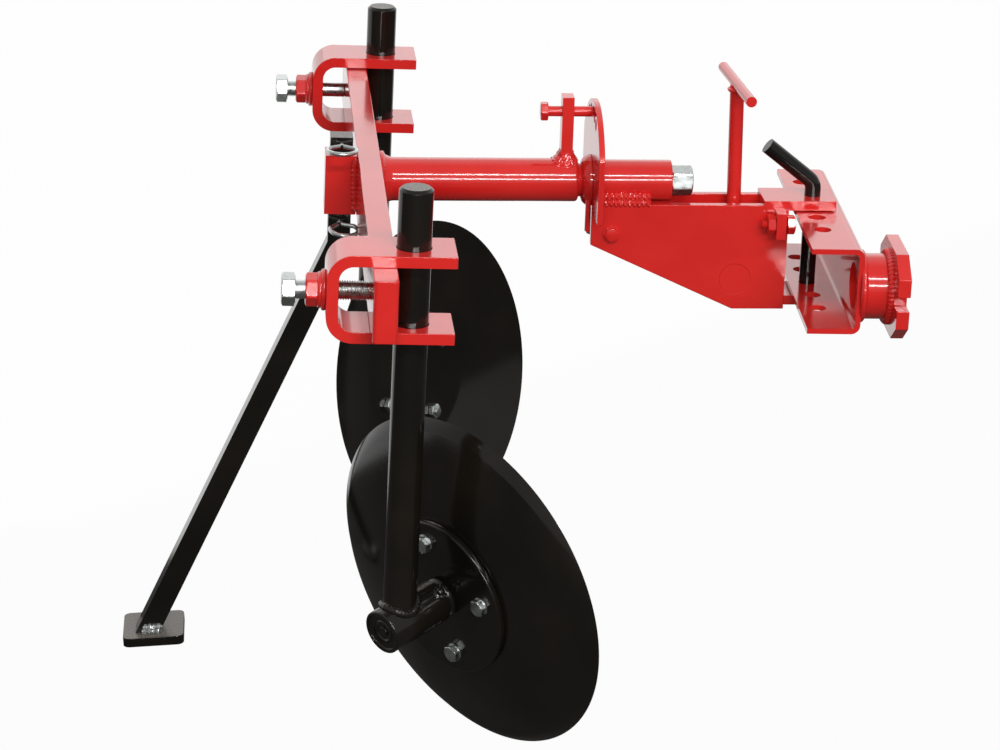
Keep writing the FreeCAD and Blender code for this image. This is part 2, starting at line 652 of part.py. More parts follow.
def stand_bar():
    """Square bar: upright through the sleeve, then sloping back to the foot plate."""
    half = "leg_wide / 2"
    low = "(leg_bend - leg_run * cos(leg_angle))"
    back = "leg_run * sin(leg_angle)"
    skew = "leg_wide / 2 * tan(leg_angle / 2)"
    wide = "leg_wide / 2 / cos(leg_angle)"
    points = [(half, "leg_top"), (half, f"leg_bend - {skew}"), (f"-({back}) + {wide}", low),
              (f"-({back}) - {wide}", low), (f"-({half})", f"leg_bend + {skew}"),
              (f"-({half})", "leg_top")]
    body, pad = plate_body("XZ_Plane", points, "leg_wide")
    place(body, at(POST_X, 0, 0))
    holes = [rod(at(POST_X, "-leg_wide", z, "X", -90), "lynch_dia", "2 * leg_wide")
             for _, z in LYNCH_ENDS]
    below = box(offset(f"{FOOT_X} - foot_long", "-leg_wide", "-leg_run"), "2 * foot_long",
                "2 * leg_wide", "leg_run + foot_thick")
    piece("stand_bar", cut(body, *holes, below))


def stand_foot():
    """Foot plate flat on the floor under the sloping bar."""
    x, y = "foot_long / 2", "foot_wide / 2"
    corners = [(f"-({x})", f"-({y})"), (x, f"-({y})"), (x, y), (f"-({x})", y)]
    body, pad = plate_body("XY_Plane", corners, "foot_thick")
    dress(body, "Fillet", pad, lambda mid, way: abs(way.z) > 0.9, Radius="foot_round")
    piece("stand_foot", place(body, offset(FOOT_X, "foot_left", "foot_thick / 2")))


def lynch_pins():
    """Pins through the stand bar above and below the sleeve, each with a ring through its head."""
    for name, z in LYNCH_ENDS:
        pin = rod(at(POST_X, LYNCH_Y, z, "X", -90), "lynch_dia",
                  "lynch_head + leg_wide + lynch_tip")
        head = rod(at(POST_X, LYNCH_Y, z, "X", -90), "lynch_head_dia", "lynch_head")
        swung = at(POST_X, f"{LYNCH_Y} + lynch_head / 2", z, "Z", f"{name}_swing")
        drooped = offset(0, 0, 0, "X", f"{name}_droop")
        ring = primitive("Torus", f"{swung} * {drooped} * {offset(0, '-lynch_ring / 2', 0)}",
                         Radius1="lynch_ring / 2", Radius2="lynch_wire / 2")
        piece(f"{name}_lynch_pin", fuse(pin, head, ring))


# ---------------------------------------------------------------- disc gangs

def hub_frame(side):
    """Expression of the hub's frame: its Z runs from the shank's axis to the disc."""
    upright = at(SHANK_X, f"{side} * {CLAMP_Y}", "-hub_drop", "Z", f"{-side} * hub_yaw")
    return f"{upright} * {offset(0, 0, 0, 'Y', '90 - hub_tilt')}"


def on_hub(side, z):
    return f"{hub_frame(side)} * {offset(0, 0, z)}"


def wall_behind(side):
    """Distance of a clamp's rear wall behind the crossbar's middle."""
    return "clamp_back" if side < 0 else "(clamp_back - clamp_less)"


def along_screw(side, x):
    """Expression of a place on a clamp screw's axis, its Z forward and its X on a hex corner."""
    middle = at(x, f"{side} * {CLAMP_Y}", "screw_z", "Y", 90)
    return f"{middle} * {offset(0, 0, 0, 'Z', 'screw_turn')}"


def clamp(name, side):
    """Bent flat bar round the crossbar and the shank, open to the front."""
    top, inner = "(clamp_gap / 2 + clamp_thick)", "clamp_gap / 2"
    back, wall = f"-{wall_behind(side)}", f"clamp_thick - {wall_behind(side)}"
    middle = "-clamp_sag" if side < 0 else "0"
    points = [("clamp_front", f"-{top}"), (back, f"-{top}"), (back, top), ("clamp_front", top),
              ("clamp_front", inner), (wall, inner), (wall, f"-{inner}"),
              ("clamp_front", f"-{inner}")]
    body, pad = plate_body("XZ_Plane", points, "clamp_wide")
    outer_x = value(back) + 0.1
    inner_x = value(wall) + 0.1

    def outer_bend(mid, way):
        return abs(way.y) > 0.9 and mid.x < outer_x

    def inner_bend(mid, way):
        return abs(way.y) > 0.9 and outer_x < mid.x < inner_x

    fillet = dress(body, "Fillet", pad, outer_bend, Radius="clamp_bend + clamp_thick")
    dress(body, "Fillet", fillet, inner_bend, Radius="clamp_bend")
    place(body, at(0, f"{side} * {CLAMP_Y}", middle))
    shank_hole = rod(at(SHANK_X, f"{side} * {CLAMP_Y}", f"{middle} - {top} - 1"),
                     "shank_dia + 2 * fit", f"2 * {top} + 2")
    screw_hole = rod(along_screw(side, f"{back} - 1"), "screw_dia", "clamp_thick + 2")
    piece(f"{name}_clamp", cut(body, shank_hole, screw_hole))


def clamp_nut(name, side):
    """Nut and its weld on the clamp's rear wall."""
    weld_x = f"(-{wall_behind(side)} - cone_long)"
    nut = hexagon(along_screw(side, f"{weld_x} - nut_thick"), "nut_flats", "nut_thick")
    weld = primitive("Cone", along_screw(side, weld_x), Radius1="cone_top / 2",
                     Radius2="cone_foot / 2", Height="cone_long")
    hole = rod(along_screw(side, f"{weld_x} - nut_thick - 1"), "screw_dia",
               "nut_thick + cone_long + 2")
    piece(f"{name}_clamp_nut", cut(fuse(nut, weld), hole))


def clamp_screw(name, side):
    """Screw that presses the crossbar against the shank."""
    start = f"(-{wall_behind(side)} - cone_long - nut_thick - screw_show - screw_head)"
    head = hexagon(along_screw(side, start), "nut_flats", "screw_head")
    shaft = rod(along_screw(side, start), "screw_dia", f"-bar_thick / 2 - {start}")
    piece(f"{name}_clamp_screw", fuse(head, shaft))


def shank(name, side):
    """Round shank, its lower end shaped to the hub housing."""
    y = f"{side} * {CLAMP_Y}"
    extra = "shank_extra" if side < 0 else "0"
    bar = rod(at(SHANK_X, y, "-hub_drop"), "shank_dia", f"hub_drop + shank_top + {extra}")
    doc.recompute()
    chamfer = doc.addObject("Part::Chamfer", "Chamfer")
    chamfer.Base = bar
    top = max(range(len(bar.Shape.Edges)), key=lambda i: bar.Shape.Edges[i].CenterOfMass.z)
    size = SIZES["shank_chamfer"][0]
    chamfer.Edges = [(top + 1, size, size)]
    housing = rod(on_hub(side, "-2 * hub_rear"), "hub_dia", "2 * (hub_rear + hub_front)")
    piece(f"{name}_shank", cut(chamfer, housing))


def hub_housing(name, side):
    """Round housing across the shank's foot, with a blind bore and a shallow end recess."""
    body = rod(on_hub(side, "-hub_rear"), "hub_dia", "hub_rear + hub_front")
    bore = rod(on_hub(side, "-axle_rear - fit"), "axle_dia + 2 * fit",
               "axle_rear + fit + hub_front + 1")
    recess = rod(on_hub(side, "-hub_rear - 1"), "hub_dia - 2 * recess_rim", "recess_deep + 1")
    piece(f"{name}_hub_housing", cut(body, bore, recess))


def hub_axle(name, side):
    """Axle with its collar and the round flange that carries the disc."""
    axle = rod(on_hub(side, "-axle_rear"), "axle_dia", "axle_rear + flange_at")
    collar = rod(on_hub(side, "hub_front + hub_gap"), "collar_dia",
                 "flange_at - hub_front - hub_gap")
    flange = rod(on_hub(side, "flange_at"), "flange_dia", "flange_thick")
    piece(f"{name}_hub_axle", fuse(axle, collar, flange))


def disc(name, side):
    """Dished disc: flat centre, spherical dish and a ground rim, turned in one piece."""
    body = doc.addObject("PartDesign::Body", "Body")
    sketch = sketch_on(body, "XZ_Plane")
    low, top = "flange_at + flange_thick", "flange_at + flange_thick + disc_thick"
    rim, flat = "disc_dia / 2", "disc_flat"
    rim_z = f"{top} + disc_depth"
    rise = "disc_depth * (1 - rim_slope * disc_bevel / (disc_dia / 2 - disc_flat))"
    points = [(0, low), (flat, low), (f"{rim} - disc_bevel", f"{low} + {rise}"), (rim, rim_z),
              (flat, top), (0, top)]
    bends = {1: 1, 3: 1}
    vectors = [FreeCAD.Vector(value(x), value(y), 0) for x, y in points]
    for i, start in enumerate(vectors):
        end = vectors[(i + 1) % len(vectors)]
        if i in bends:
            sketch.addGeometry(axis_arc(start, end))
        else:
            sketch.addGeometry(Part.LineSegment(start, end))
    for i, (x, y) in enumerate(points):
        following = (i + 1) % len(points)
        end = 1 if i == 3 else 2
        start = 2 if following == 3 else 1
        sketch.addConstraint(Sketcher.Constraint("Coincident", i, end, following, start))
        pin_point(sketch, i, 2 if i == 3 else 1, x, y)
        if i in bends:
            sketch.addConstraint(Sketcher.Constraint("PointOnObject", i, 3, -2))
    turn = body.newObject("PartDesign::Revolution", "Revolution")
    turn.Profile = sketch
    turn.ReferenceAxis = (sketch, ["V_Axis"])
    turn.Angle = 360
    body.Tip = turn
    piece(f"{name}_disc", place(body, hub_frame(side)))


def axis_arc(start, end):
    """Arc between two points whose centre lies on the turning axis, bulging downwards."""
    centre_y = ((end.x ** 2 + end.y ** 2) - (start.x ** 2 + start.y ** 2)) / (2 * (end.y - start.y))
    centre = FreeCAD.Vector(0, centre_y, 0)
    low, high = (start, end) if start.x < end.x else (end, start)
    circle = Part.Circle(centre, FreeCAD.Vector(0, 0, 1), (low - centre).Length)
    return Part.ArcOfCircle(circle, circle.parameter(low), circle.parameter(high))


crossbar()
boom_tube()
boom_arm()
lock_bolt()
boom_spindle()
quadrant_plate()
bearing_sleeve()
spindle_nut()
side_plates()
trunnion()
cross_bolt()
hitch_plates()
t_screw()
stop_lugs_and_bolts()
king_pin()
channel()
coupling_tube()
coupling_flange()
stand_sleeve()
stand_bar()
stand_foot()
lynch_pins()
for gang, side_sign in (("right", -1), ("left", 1)):
    clamp(gang, side_sign)
    clamp_nut(gang, side_sign)
    clamp_screw(gang, side_sign)
    shank(gang, side_sign)
    hub_housing(gang, side_sign)
    hub_axle(gang, side_sign)
    disc(gang, side_sign)

doc.recompute()
for obj in doc.Objects:
    if any(flag in obj.State for flag in ("Invalid", "Error")):
        raise RuntimeError(f"{obj.Label} ({obj.Name}) failed: {obj.State}")
for obj in pieces:
    if obj.Shape.isNull() or not obj.Shape.isValid() or not obj.Shape.Solids:
        raise RuntimeError(f"{obj.Label} has no valid solid")

os.makedirs("parts", exist_ok=True)
for obj in pieces:
    obj.Shape.exportStep(f"parts/{obj.Label}.step")
    box_ = obj.Shape.BoundBox
    print(f"{obj.Label}: {len(obj.Shape.Solids)} solid, {obj.Shape.Volume / 1000:.1f} cm3,"
          f" X {box_.XMin:.1f}..{box_.XMax:.1f} Y {box_.YMin:.1f}..{box_.YMax:.1f}"
          f" Z {box_.ZMin:.1f}..{box_.ZMax:.1f}")
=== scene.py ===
"""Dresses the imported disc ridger: turned and threaded steel, weld beads, broken edges and paint.

Sizes in this file are millimetres in numpy and become metres where a mesh is made.
"""

import json
import math

import bmesh
import bpy
import numpy as np
from mathutils import Euler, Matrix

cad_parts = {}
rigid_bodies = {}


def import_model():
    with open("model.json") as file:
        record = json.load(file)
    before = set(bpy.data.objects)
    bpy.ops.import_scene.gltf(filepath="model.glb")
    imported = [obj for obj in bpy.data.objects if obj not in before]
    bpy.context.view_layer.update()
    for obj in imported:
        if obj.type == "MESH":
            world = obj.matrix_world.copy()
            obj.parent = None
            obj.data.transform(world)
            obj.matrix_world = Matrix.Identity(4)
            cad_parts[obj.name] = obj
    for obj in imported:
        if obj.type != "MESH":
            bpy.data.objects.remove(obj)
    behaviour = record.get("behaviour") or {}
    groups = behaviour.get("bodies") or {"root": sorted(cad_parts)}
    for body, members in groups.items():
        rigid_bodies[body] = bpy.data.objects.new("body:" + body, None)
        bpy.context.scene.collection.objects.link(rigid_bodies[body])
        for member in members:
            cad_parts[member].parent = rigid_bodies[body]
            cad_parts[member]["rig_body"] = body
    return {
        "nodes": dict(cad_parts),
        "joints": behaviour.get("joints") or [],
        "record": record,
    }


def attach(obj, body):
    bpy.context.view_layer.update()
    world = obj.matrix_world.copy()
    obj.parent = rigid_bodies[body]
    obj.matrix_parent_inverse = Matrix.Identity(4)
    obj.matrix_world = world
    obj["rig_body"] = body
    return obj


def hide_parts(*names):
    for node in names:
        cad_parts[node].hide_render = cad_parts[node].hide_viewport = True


bl_info = {
    "name": "Disc Ridger Dressing",
    "version": (1, 0, 0),
    "blender": (4, 5, 0),
    "location": "3D View > Sidebar > Ridger",
    "description": "Turned parts, screws, welds, paint and a plain studio for a disc ridger",
    "category": "Object",
}

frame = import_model()
NODES = frame["nodes"]
JOINTS = {joint["name"]: joint for joint in frame["joints"]}
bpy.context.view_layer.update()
SIDES = (("right", -1), ("left", 1))


# ---------------------------------------------------------------- places

def unit(vector):
    """Vector of length one along the given one."""
    vector = np.asarray(vector, float)
    return vector / np.linalg.norm(vector, axis=-1, keepdims=True)


def basis(origin, x_way, z_way):
    """Frame with Z along z_way, X as near to x_way as it can be, and Y = Z cross X."""
    z = unit(z_way)
    x = unit(np.asarray(x_way, float) - np.dot(x_way, z) * z)
    matrix = np.eye(4)
    matrix[:3, :3] = np.stack([x, np.cross(z, x), z], axis=1)
    matrix[:3, 3] = origin
    return matrix


# Turns whose third column, the new frame's Z, is the named way of the old one.
WAYS = {
    "X": np.array([[0, 0, 1], [0, 1, 0], [-1, 0, 0]]),
    "Y": np.array([[1, 0, 0], [0, 0, 1], [0, -1, 0]]),
    "Z": np.eye(3),
    "-Z": np.array([[1, 0, 0], [0, -1, 0], [0, 0, -1]]),
}


def at(base, x, y, z, way="Z"):
    """Frame at a point of another frame, with its own Z along one of that frame's ways."""
    local = np.eye(4)
    local[:3, :3] = WAYS[way]
    local[:3, 3] = (x, y, z)
    return base @ local


def put_in(points, matrix):
    """Points carried from a frame into the row's frame: p = R q + t."""
    return np.asarray(points, float) @ matrix[:3, :3].T + matrix[:3, 3]


def joint_point(name):
    return np.array(JOINTS[name]["pos_m"]) * 1000


# Steel sizes, in millimetres, that the joints do not give.
BAR_THICK, SHANK_DIA, GANG_Y = 25, 35, 380
TUBE_RADIUS, TUBE_WALL, TUBE_END, SPINDLE_RADIUS = 24.15, 5, 234, 15
QUAD_X, SLEEVE_END, KING_X, SIDE_OUT = 249, 339, 501, 26
CHAN_WIDE, CHAN_BACK, SWING = 58, 21, math.radians(-2)
HUB_RADIUS, HUB_REAR, HUB_FRONT = 24, -25.5, 52
FLANGE_RADIUS, FLANGE_AT, DISC_AT = 87.5, 60, 68
DISC_RADIUS, DISC_FLAT, DISC_THICK, DISC_DEPTH = 190, 90, 4, 30
LUG_X, LUG_THICK = KING_X - 47, 11
SHANK_X = (BAR_THICK + SHANK_DIA) / 2
UP = JOINTS["right_shank_turn"]["axis"]
BOOM_WAY = JOINTS["boom_tilt"]["axis"]

# ROW: X forward, origin in the crossbar's middle. BOOM: the same along the boom's axis.
ROW = basis(joint_point("right_shank_turn"), (1, 0, 0), UP)
ROW[:3, 3] = put_in((-SHANK_X, GANG_Y, 0), ROW)
BOOM = basis(joint_point("boom_tilt"), BOOM_WAY, JOINTS["hitch_swing"]["axis"])
BOOM[:3, 3] = put_in((-QUAD_X, 0, 0), BOOM)
HITCH = at(BOOM, KING_X, 0, 0)
HITCH[:3, :3] = HITCH[:3, :3] @ np.array([[math.cos(SWING), -math.sin(SWING), 0],
                                          [math.sin(SWING), math.cos(SWING), 0], [0, 0, 1]])
# HUB: Z from the shank's axis to the disc, X as near upright as it can be.
HUB = {name: basis(joint_point(f"{name}_disc_spin"), UP, JOINTS[f"{name}_disc_spin"]["axis"])
       for name, _ in SIDES}


# ---------------------------------------------------------------- surfaces

def shell(points, ring=False, caps=True):
    """Skin of a grid of points whose columns close on themselves.

    Quad (i, j) joins points (i, j), (i, j+1), (i+1, j+1), (i+1, j). With ring the last row joins
    the first; with caps each end row is closed by a fan to its middle point.
    """
    rows, cols = points.shape[:2]
    i = np.arange(rows if ring else rows - 1)[:, None]
    j = np.arange(cols)[None, :]
    k, low, high = (j + 1) % cols, i * cols, (i + 1) % rows * cols
    faces = np.stack([low + j, low + k, high + k, high + j], axis=-1).reshape(-1, 4).tolist()
    verts = points.reshape(-1, 3)
    if caps and not ring:
        verts = np.vstack([verts, points[0].mean(axis=0), points[-1].mean(axis=0)])
        j, k, last = j[0], k[0], (rows - 1) * cols
        faces += np.stack([j * 0 + rows * cols, k, j], axis=-1).tolist()
        faces += np.stack([j * 0 + rows * cols + 1, last + j, last + k], axis=-1).tolist()
    return verts, faces


def eased(points, size, steps=4, closed=False):
    """Profile with its corners rounded.

    Each corner p becomes the curve (1-t)^2 a + 2 t (1-t) p + t^2 b, where a and b lie at the
    given distance before and after it.
    """
    p = np.asarray(points, float)
    before, after = np.roll(p, 1, axis=0) - p, np.roll(p, -1, axis=0) - p
    long_before = np.linalg.norm(before, axis=1, keepdims=True)
    long_after = np.linalg.norm(after, axis=1, keepdims=True)
    reach = np.minimum(size, 0.45 * np.minimum(long_before, long_after))
    a = (p + before / long_before * reach)[:, None]
    b = (p + after / long_after * reach)[:, None]
    t = np.linspace(0, 1, steps)[None, :, None]
    curve = (1 - t) ** 2 * a + 2 * t * (1 - t) * p[:, None] + t ** 2 * b
    if closed:
        return curve.reshape(-1, 2)
    return np.vstack([p[:1], curve[1:-1].reshape(-1, 2), p[-1:]])


def lathe(profile, matrix, turns=72, ring=False):
    """Profile (r, h) turned about Z: x = r cos t, y = r sin t, z = h."""
    r, h = np.asarray(profile, float).T[:, :, None]
    t = np.linspace(0, 2 * np.pi, turns, endpoint=False)[None, :]
    points = np.stack([r * np.cos(t), r * np.sin(t), h + 0 * t], axis=-1)
    return shell(put_in(points, matrix), ring=ring)


def round_bar(dia, low, high, matrix, edge=0.8, turns=72):
    """Turned bar with rounded end edges."""
    return lathe(eased([(dia / 4, low), (dia / 2, low), (dia / 2, high), (dia / 4, high)], edge),
                 matrix, turns)


def sleeve(outer, bore, low, high, matrix, edge=0.8, turns=72):
    """Turned ring with a bore and rounded edges."""
    corners = [(outer / 2, low), (outer / 2, high), (bore / 2, high), (bore / 2, low)]
    return lathe(eased(corners, edge, closed=True), matrix, turns, ring=True)


def hexagon(flats, low, high, matrix, phase=0.0, cones=(True, True), dome=0.0, turns=96):
    """Hexagonal bar whose ends are turned to a 30-degree cone.

    r = min(a / cos f, c + d / tan 30), where a is half the width across flats, f is the angle
    from the middle of the nearest flat, c the radius of the end's round face and d the depth
    below that end. The rows near each end lie closer together, down to 0.19 a, where the cone
    has met the corners. A forged head also rises by dome * (1 - (r / c)^2) over its round face.
    """
    a, c, tan30 = flats / 2, 0.95 * flats / 2, math.tan(math.radians(30))
    t = np.linspace(0, 2 * np.pi, turns, endpoint=False)[None, :]
    fold = (t - phase + np.pi / 6) % (np.pi / 3) - np.pi / 6
    side = np.minimum(a / np.cos(fold), 1.135 * a)
    deep = 0.19 * a * np.linspace(0, 1, 7) ** 1.3
    z = np.concatenate([low + deep, high - deep[::-1]])[:, None]
    cone = np.full(z.shape, np.inf)
    if cones[0]:
        cone = np.minimum(cone, c + (z - low) / tan30)
    if cones[1]:
        cone = np.minimum(cone, c + (high - z) / tan30)
    r = np.minimum(side, cone)
    if dome:
        crown = np.linspace(0.92, 0.15, 6)[:, None]
        r = np.vstack([r, c * crown + 0 * t])
        z = np.vstack([z, high + dome * (1 - crown ** 2)])
    points = np.stack([r * np.cos(t), r * np.sin(t), z + 0 * t], axis=-1)
    return shell(put_in(points, matrix))


def thread(dia, pitch, low, high, matrix, turns=48):
    """Threaded bar: r = dia/2 - depth w, where w goes from 0 on the crest to 1 in the root.

    w is a triangle wave of z / pitch - t / 2 pi with flattened crests, so the crest climbs one
    pitch a turn. Both ends run out through a 45-degree chamfer.
    """
    z = np.linspace(low, high, int((high - low) / pitch * 10) + 2)[:, None]
    t = np.linspace(0, 2 * np.pi, turns, endpoint=False)[None, :]
    wave = np.abs((z / pitch - t / (2 * np.pi)) % 1 * 2 - 1)
    depth = 0.6 * pitch
    r = dia / 2 - depth * np.clip((wave - 0.12) / 0.8, 0, 1)
    r = np.minimum(r, dia / 2 - depth + np.minimum(z - low, high - z))
    points = np.stack([r * np.cos(t), r * np.sin(t), z + 0 * t], axis=-1)
    return shell(put_in(points, matrix))


def along(points, spacing, closed=False):
    """Path resampled to even spacing by its running length."""
    p = np.asarray(points, float)
    if closed:
        p = np.vstack([p, p[:1]])
    run = np.concatenate([[0], np.cumsum(np.linalg.norm(np.diff(p, axis=0), axis=1))])
    count = max(int(run[-1] / spacing), 3)
    s = np.linspace(0, run[-1], count, endpoint=not closed)
    return np.stack([np.interp(s, run, p[:, i]) for i in range(p.shape[1])], axis=1)


def tube(path, out, radius, closed=False, sides=12):
    """Round section carried along a path: p = c + r (cos f u + sin f v).

    u is the outward way made square to the path's tangent and v = tangent cross u. The radius
    is one number, or a function of the running length s (a column) and the angle f (a row).
    """
    path, out = np.asarray(path, float), np.broadcast_to(np.asarray(out, float), np.shape(path))
    step = (np.roll(path, -1, axis=0) - np.roll(path, 1, axis=0) if closed
            else np.gradient(path, axis=0))
    tangent = unit(step)
    u = unit(out - (out * tangent).sum(axis=1, keepdims=True) * tangent)
    v = np.cross(tangent, u)
    gaps = np.linalg.norm(np.diff(path, axis=0), axis=1)
    s = np.concatenate([[0], np.cumsum(gaps)])[:, None]
    f = np.linspace(0, 2 * np.pi, sides, endpoint=False)[None, :]
    r = np.broadcast_to(radius(s, f) if callable(radius) else radius, (len(path), sides))
    points = path[:, None] + r[..., None] * (np.cos(f)[..., None] * u[:, None]
                                             + np.sin(f)[..., None] * v[:, None])
    return shell(points, ring=closed, caps=not closed)


def bead(points, out, size, closed=False, ripple=3.4, rough=0.12, slant=0.0):
    """Weld bead along a path: a tube whose radius swells in crescents like laid coins.

    r = size (1 + rough |sin(pi (s / ripple - 0.5 cos f - slant sin f))| + w), pinched at open
    ends, where w is a slow swell of 7 and of 3 waves over the whole bead.
    """
    path = along(np.hstack([points, np.broadcast_to(out, np.shape(points))]), 0.75, closed)
    whole = np.linalg.norm(np.diff(path[:, :3], axis=0), axis=1).sum()

    def radius(s, f):
        swell = 1 + rough * np.abs(np.sin(np.pi * (s / ripple - 0.5 * np.cos(f)
                                                   - slant * np.sin(f))))
        turn = 2 * np.pi * s / whole
        waves = 0.05 * np.sin(7 * turn) + 0.04 * np.sin(3 * turn + 1)
        if closed:
            return size * (swell + waves)
        end = np.minimum(s, whole - s) / size
        return size * (swell + waves) * np.sqrt(np.clip(end * (2 - end), 0.1, None)
                                                * (end < 1) + (end >= 1))

    return tube(path[:, :3], path[:, 3:], radius, closed)


def circle(radius, matrix, start=0.0, end=360.0, count=96):
    """Points of a circle about a frame's Z, and the ways outwards from it."""
    t = np.radians(np.linspace(start, end, count, endpoint=end - start < 360))
    ways = np.stack([np.cos(t), np.sin(t), 0 * t], axis=1)
    return put_in(ways * radius, matrix), ways @ matrix[:3, :3].T


def ring_bead(radius, size, matrix, lift=0.0, **settings):
    """Weld bead round a turned part; lift tips its outward way along the frame's Z."""
    points, ways = circle(radius, matrix)
    return bead(points, ways + lift * matrix[:3, 2], size, closed=True, **settings)


def line_bead(base, start, end, out, size, **settings):
    """Straight weld bead between two points of a frame."""
    points = put_in(np.linspace(start, end, 24), base)
    return bead(points, np.asarray(out, float) @ base[:3, :3].T, size, **settings)


# ---------------------------------------------------------------- objects

def add_object(name, mesh, finish, body, nodes):
    """Link a mesh at the origin, give it its paint, and let it ride and stand for CAD nodes."""
    mesh.materials.append(bpy.data.materials[FINISHES[finish]])
    piece = bpy.data.objects.new(name, mesh)
    bpy.context.scene.collection.objects.link(piece)
    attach(piece, body)
    if nodes:
        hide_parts(*nodes)
    return piece


def build(name, shells, finish, body, *nodes, sharp=32.0):
    """One smooth-shaded mesh of several shells, with creases sharper than an angle kept."""
    verts, faces, start = [], [], 0
    for points, loops in shells:
        verts.append(points)
        faces += [[start + i for i in loop] for loop in loops]
        start += len(points)
    mesh = bpy.data.meshes.new(name)
    mesh.from_pydata((np.vstack(verts) / 1000).tolist(), [], faces)
    mesh.shade_smooth()
    mesh.set_sharp_from_angle(angle=math.radians(sharp))
    if mesh.validate():
        raise RuntimeError(f"{name} has faulty faces")
    add_object(name, mesh, finish, body, nodes)


def soften(node, finish, edge):
    """Stand a copy in for a CAD node, its loose triangles joined and its sharp edges broken.

    The copy's doubles are merged and its flat faces rejoined. Where a flat face runs into a bend,
    the bend's first facet is over 6 times smaller than the flat. Their edge is kept sharp, so
    that the flat is shaded flat. A Bevel modifier then rounds each edge that turns by more than
    30 degrees.
    """
    flat_ratio, least_turn = 6, 0.01
    joined = bmesh.new()
    joined.from_mesh(NODES[node].data)
    bmesh.ops.remove_doubles(joined, verts=joined.verts, dist=2e-6)
    bmesh.ops.dissolve_limit(joined, angle_limit=math.radians(0.6), verts=joined.verts,
                             edges=joined.edges)
    joined.verts.index_update()
    tangent = set()
    for side in joined.edges:
        areas = sorted(face.calc_area() for face in side.link_faces)
        if (len(areas) == 2 and areas[1] > flat_ratio * areas[0]
                and side.calc_face_angle() > least_turn):
            tangent.add(tuple(sorted(v.index for v in side.verts)))
    mesh = bpy.data.meshes.new(node + "_steel")
    mesh.from_pydata([v.co[:] for v in joined.verts], [],
                     [[v.index for v in face.verts] for face in joined.faces])
    joined.free()
    mesh.shade_smooth()
    mesh.edges.foreach_set("use_edge_sharp", [side.key in tangent for side in mesh.edges])
    piece = add_object(node + "_steel", mesh, finish, NODES[node]["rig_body"], [node])
    bevel = piece.modifiers.new("Broken edges", "BEVEL")
    bevel.width, bevel.segments = edge / 1000, 2
    bevel.limit_method, bevel.angle_limit = "ANGLE", math.radians(30)
    bevel.harden_normals = True


# ---------------------------------------------------------------- finishes

FINISHES = {"red_paint": "Red alkyd enamel, sprayed", "black_paint": "Black alkyd enamel, sprayed",
            "zinc": "Zinc-plated steel, bright"}


def linear(code):
    """Linear colour of an sRGB hex code.

    Each value c becomes c / 12.92 up to 0.04045, and ((c + 0.055) / 1.055)^2.4 above it.
    """
    values = np.array([int(code[i:i + 2], 16) for i in (1, 3, 5)]) / 255
    values = np.where(values <= 0.04045, values / 12.92, ((values + 0.055) / 1.055) ** 2.4)
    return (*values.tolist(), 1.0)


def add(tree, kind, inputs=None, **settings):
    """Add a shader node, set its properties, and set each input or link it to a socket."""
    made = tree.nodes.new("ShaderNode" + kind)
    for key, value in settings.items():
        setattr(made, key, value)
    for key, value in (inputs or {}).items():
        if isinstance(value, bpy.types.NodeSocket):
            tree.links.new(value, made.inputs[key])
        else:
            made.inputs[key].default_value = value
    return made


def new_material(name):
    material = bpy.data.materials.new(name)
    material.use_nodes = True
    material.node_tree.nodes.clear()
    return material, material.node_tree


def per_metre(size_mm):
    """Noise scale whose features have a real size."""
    return 1000 / size_mm


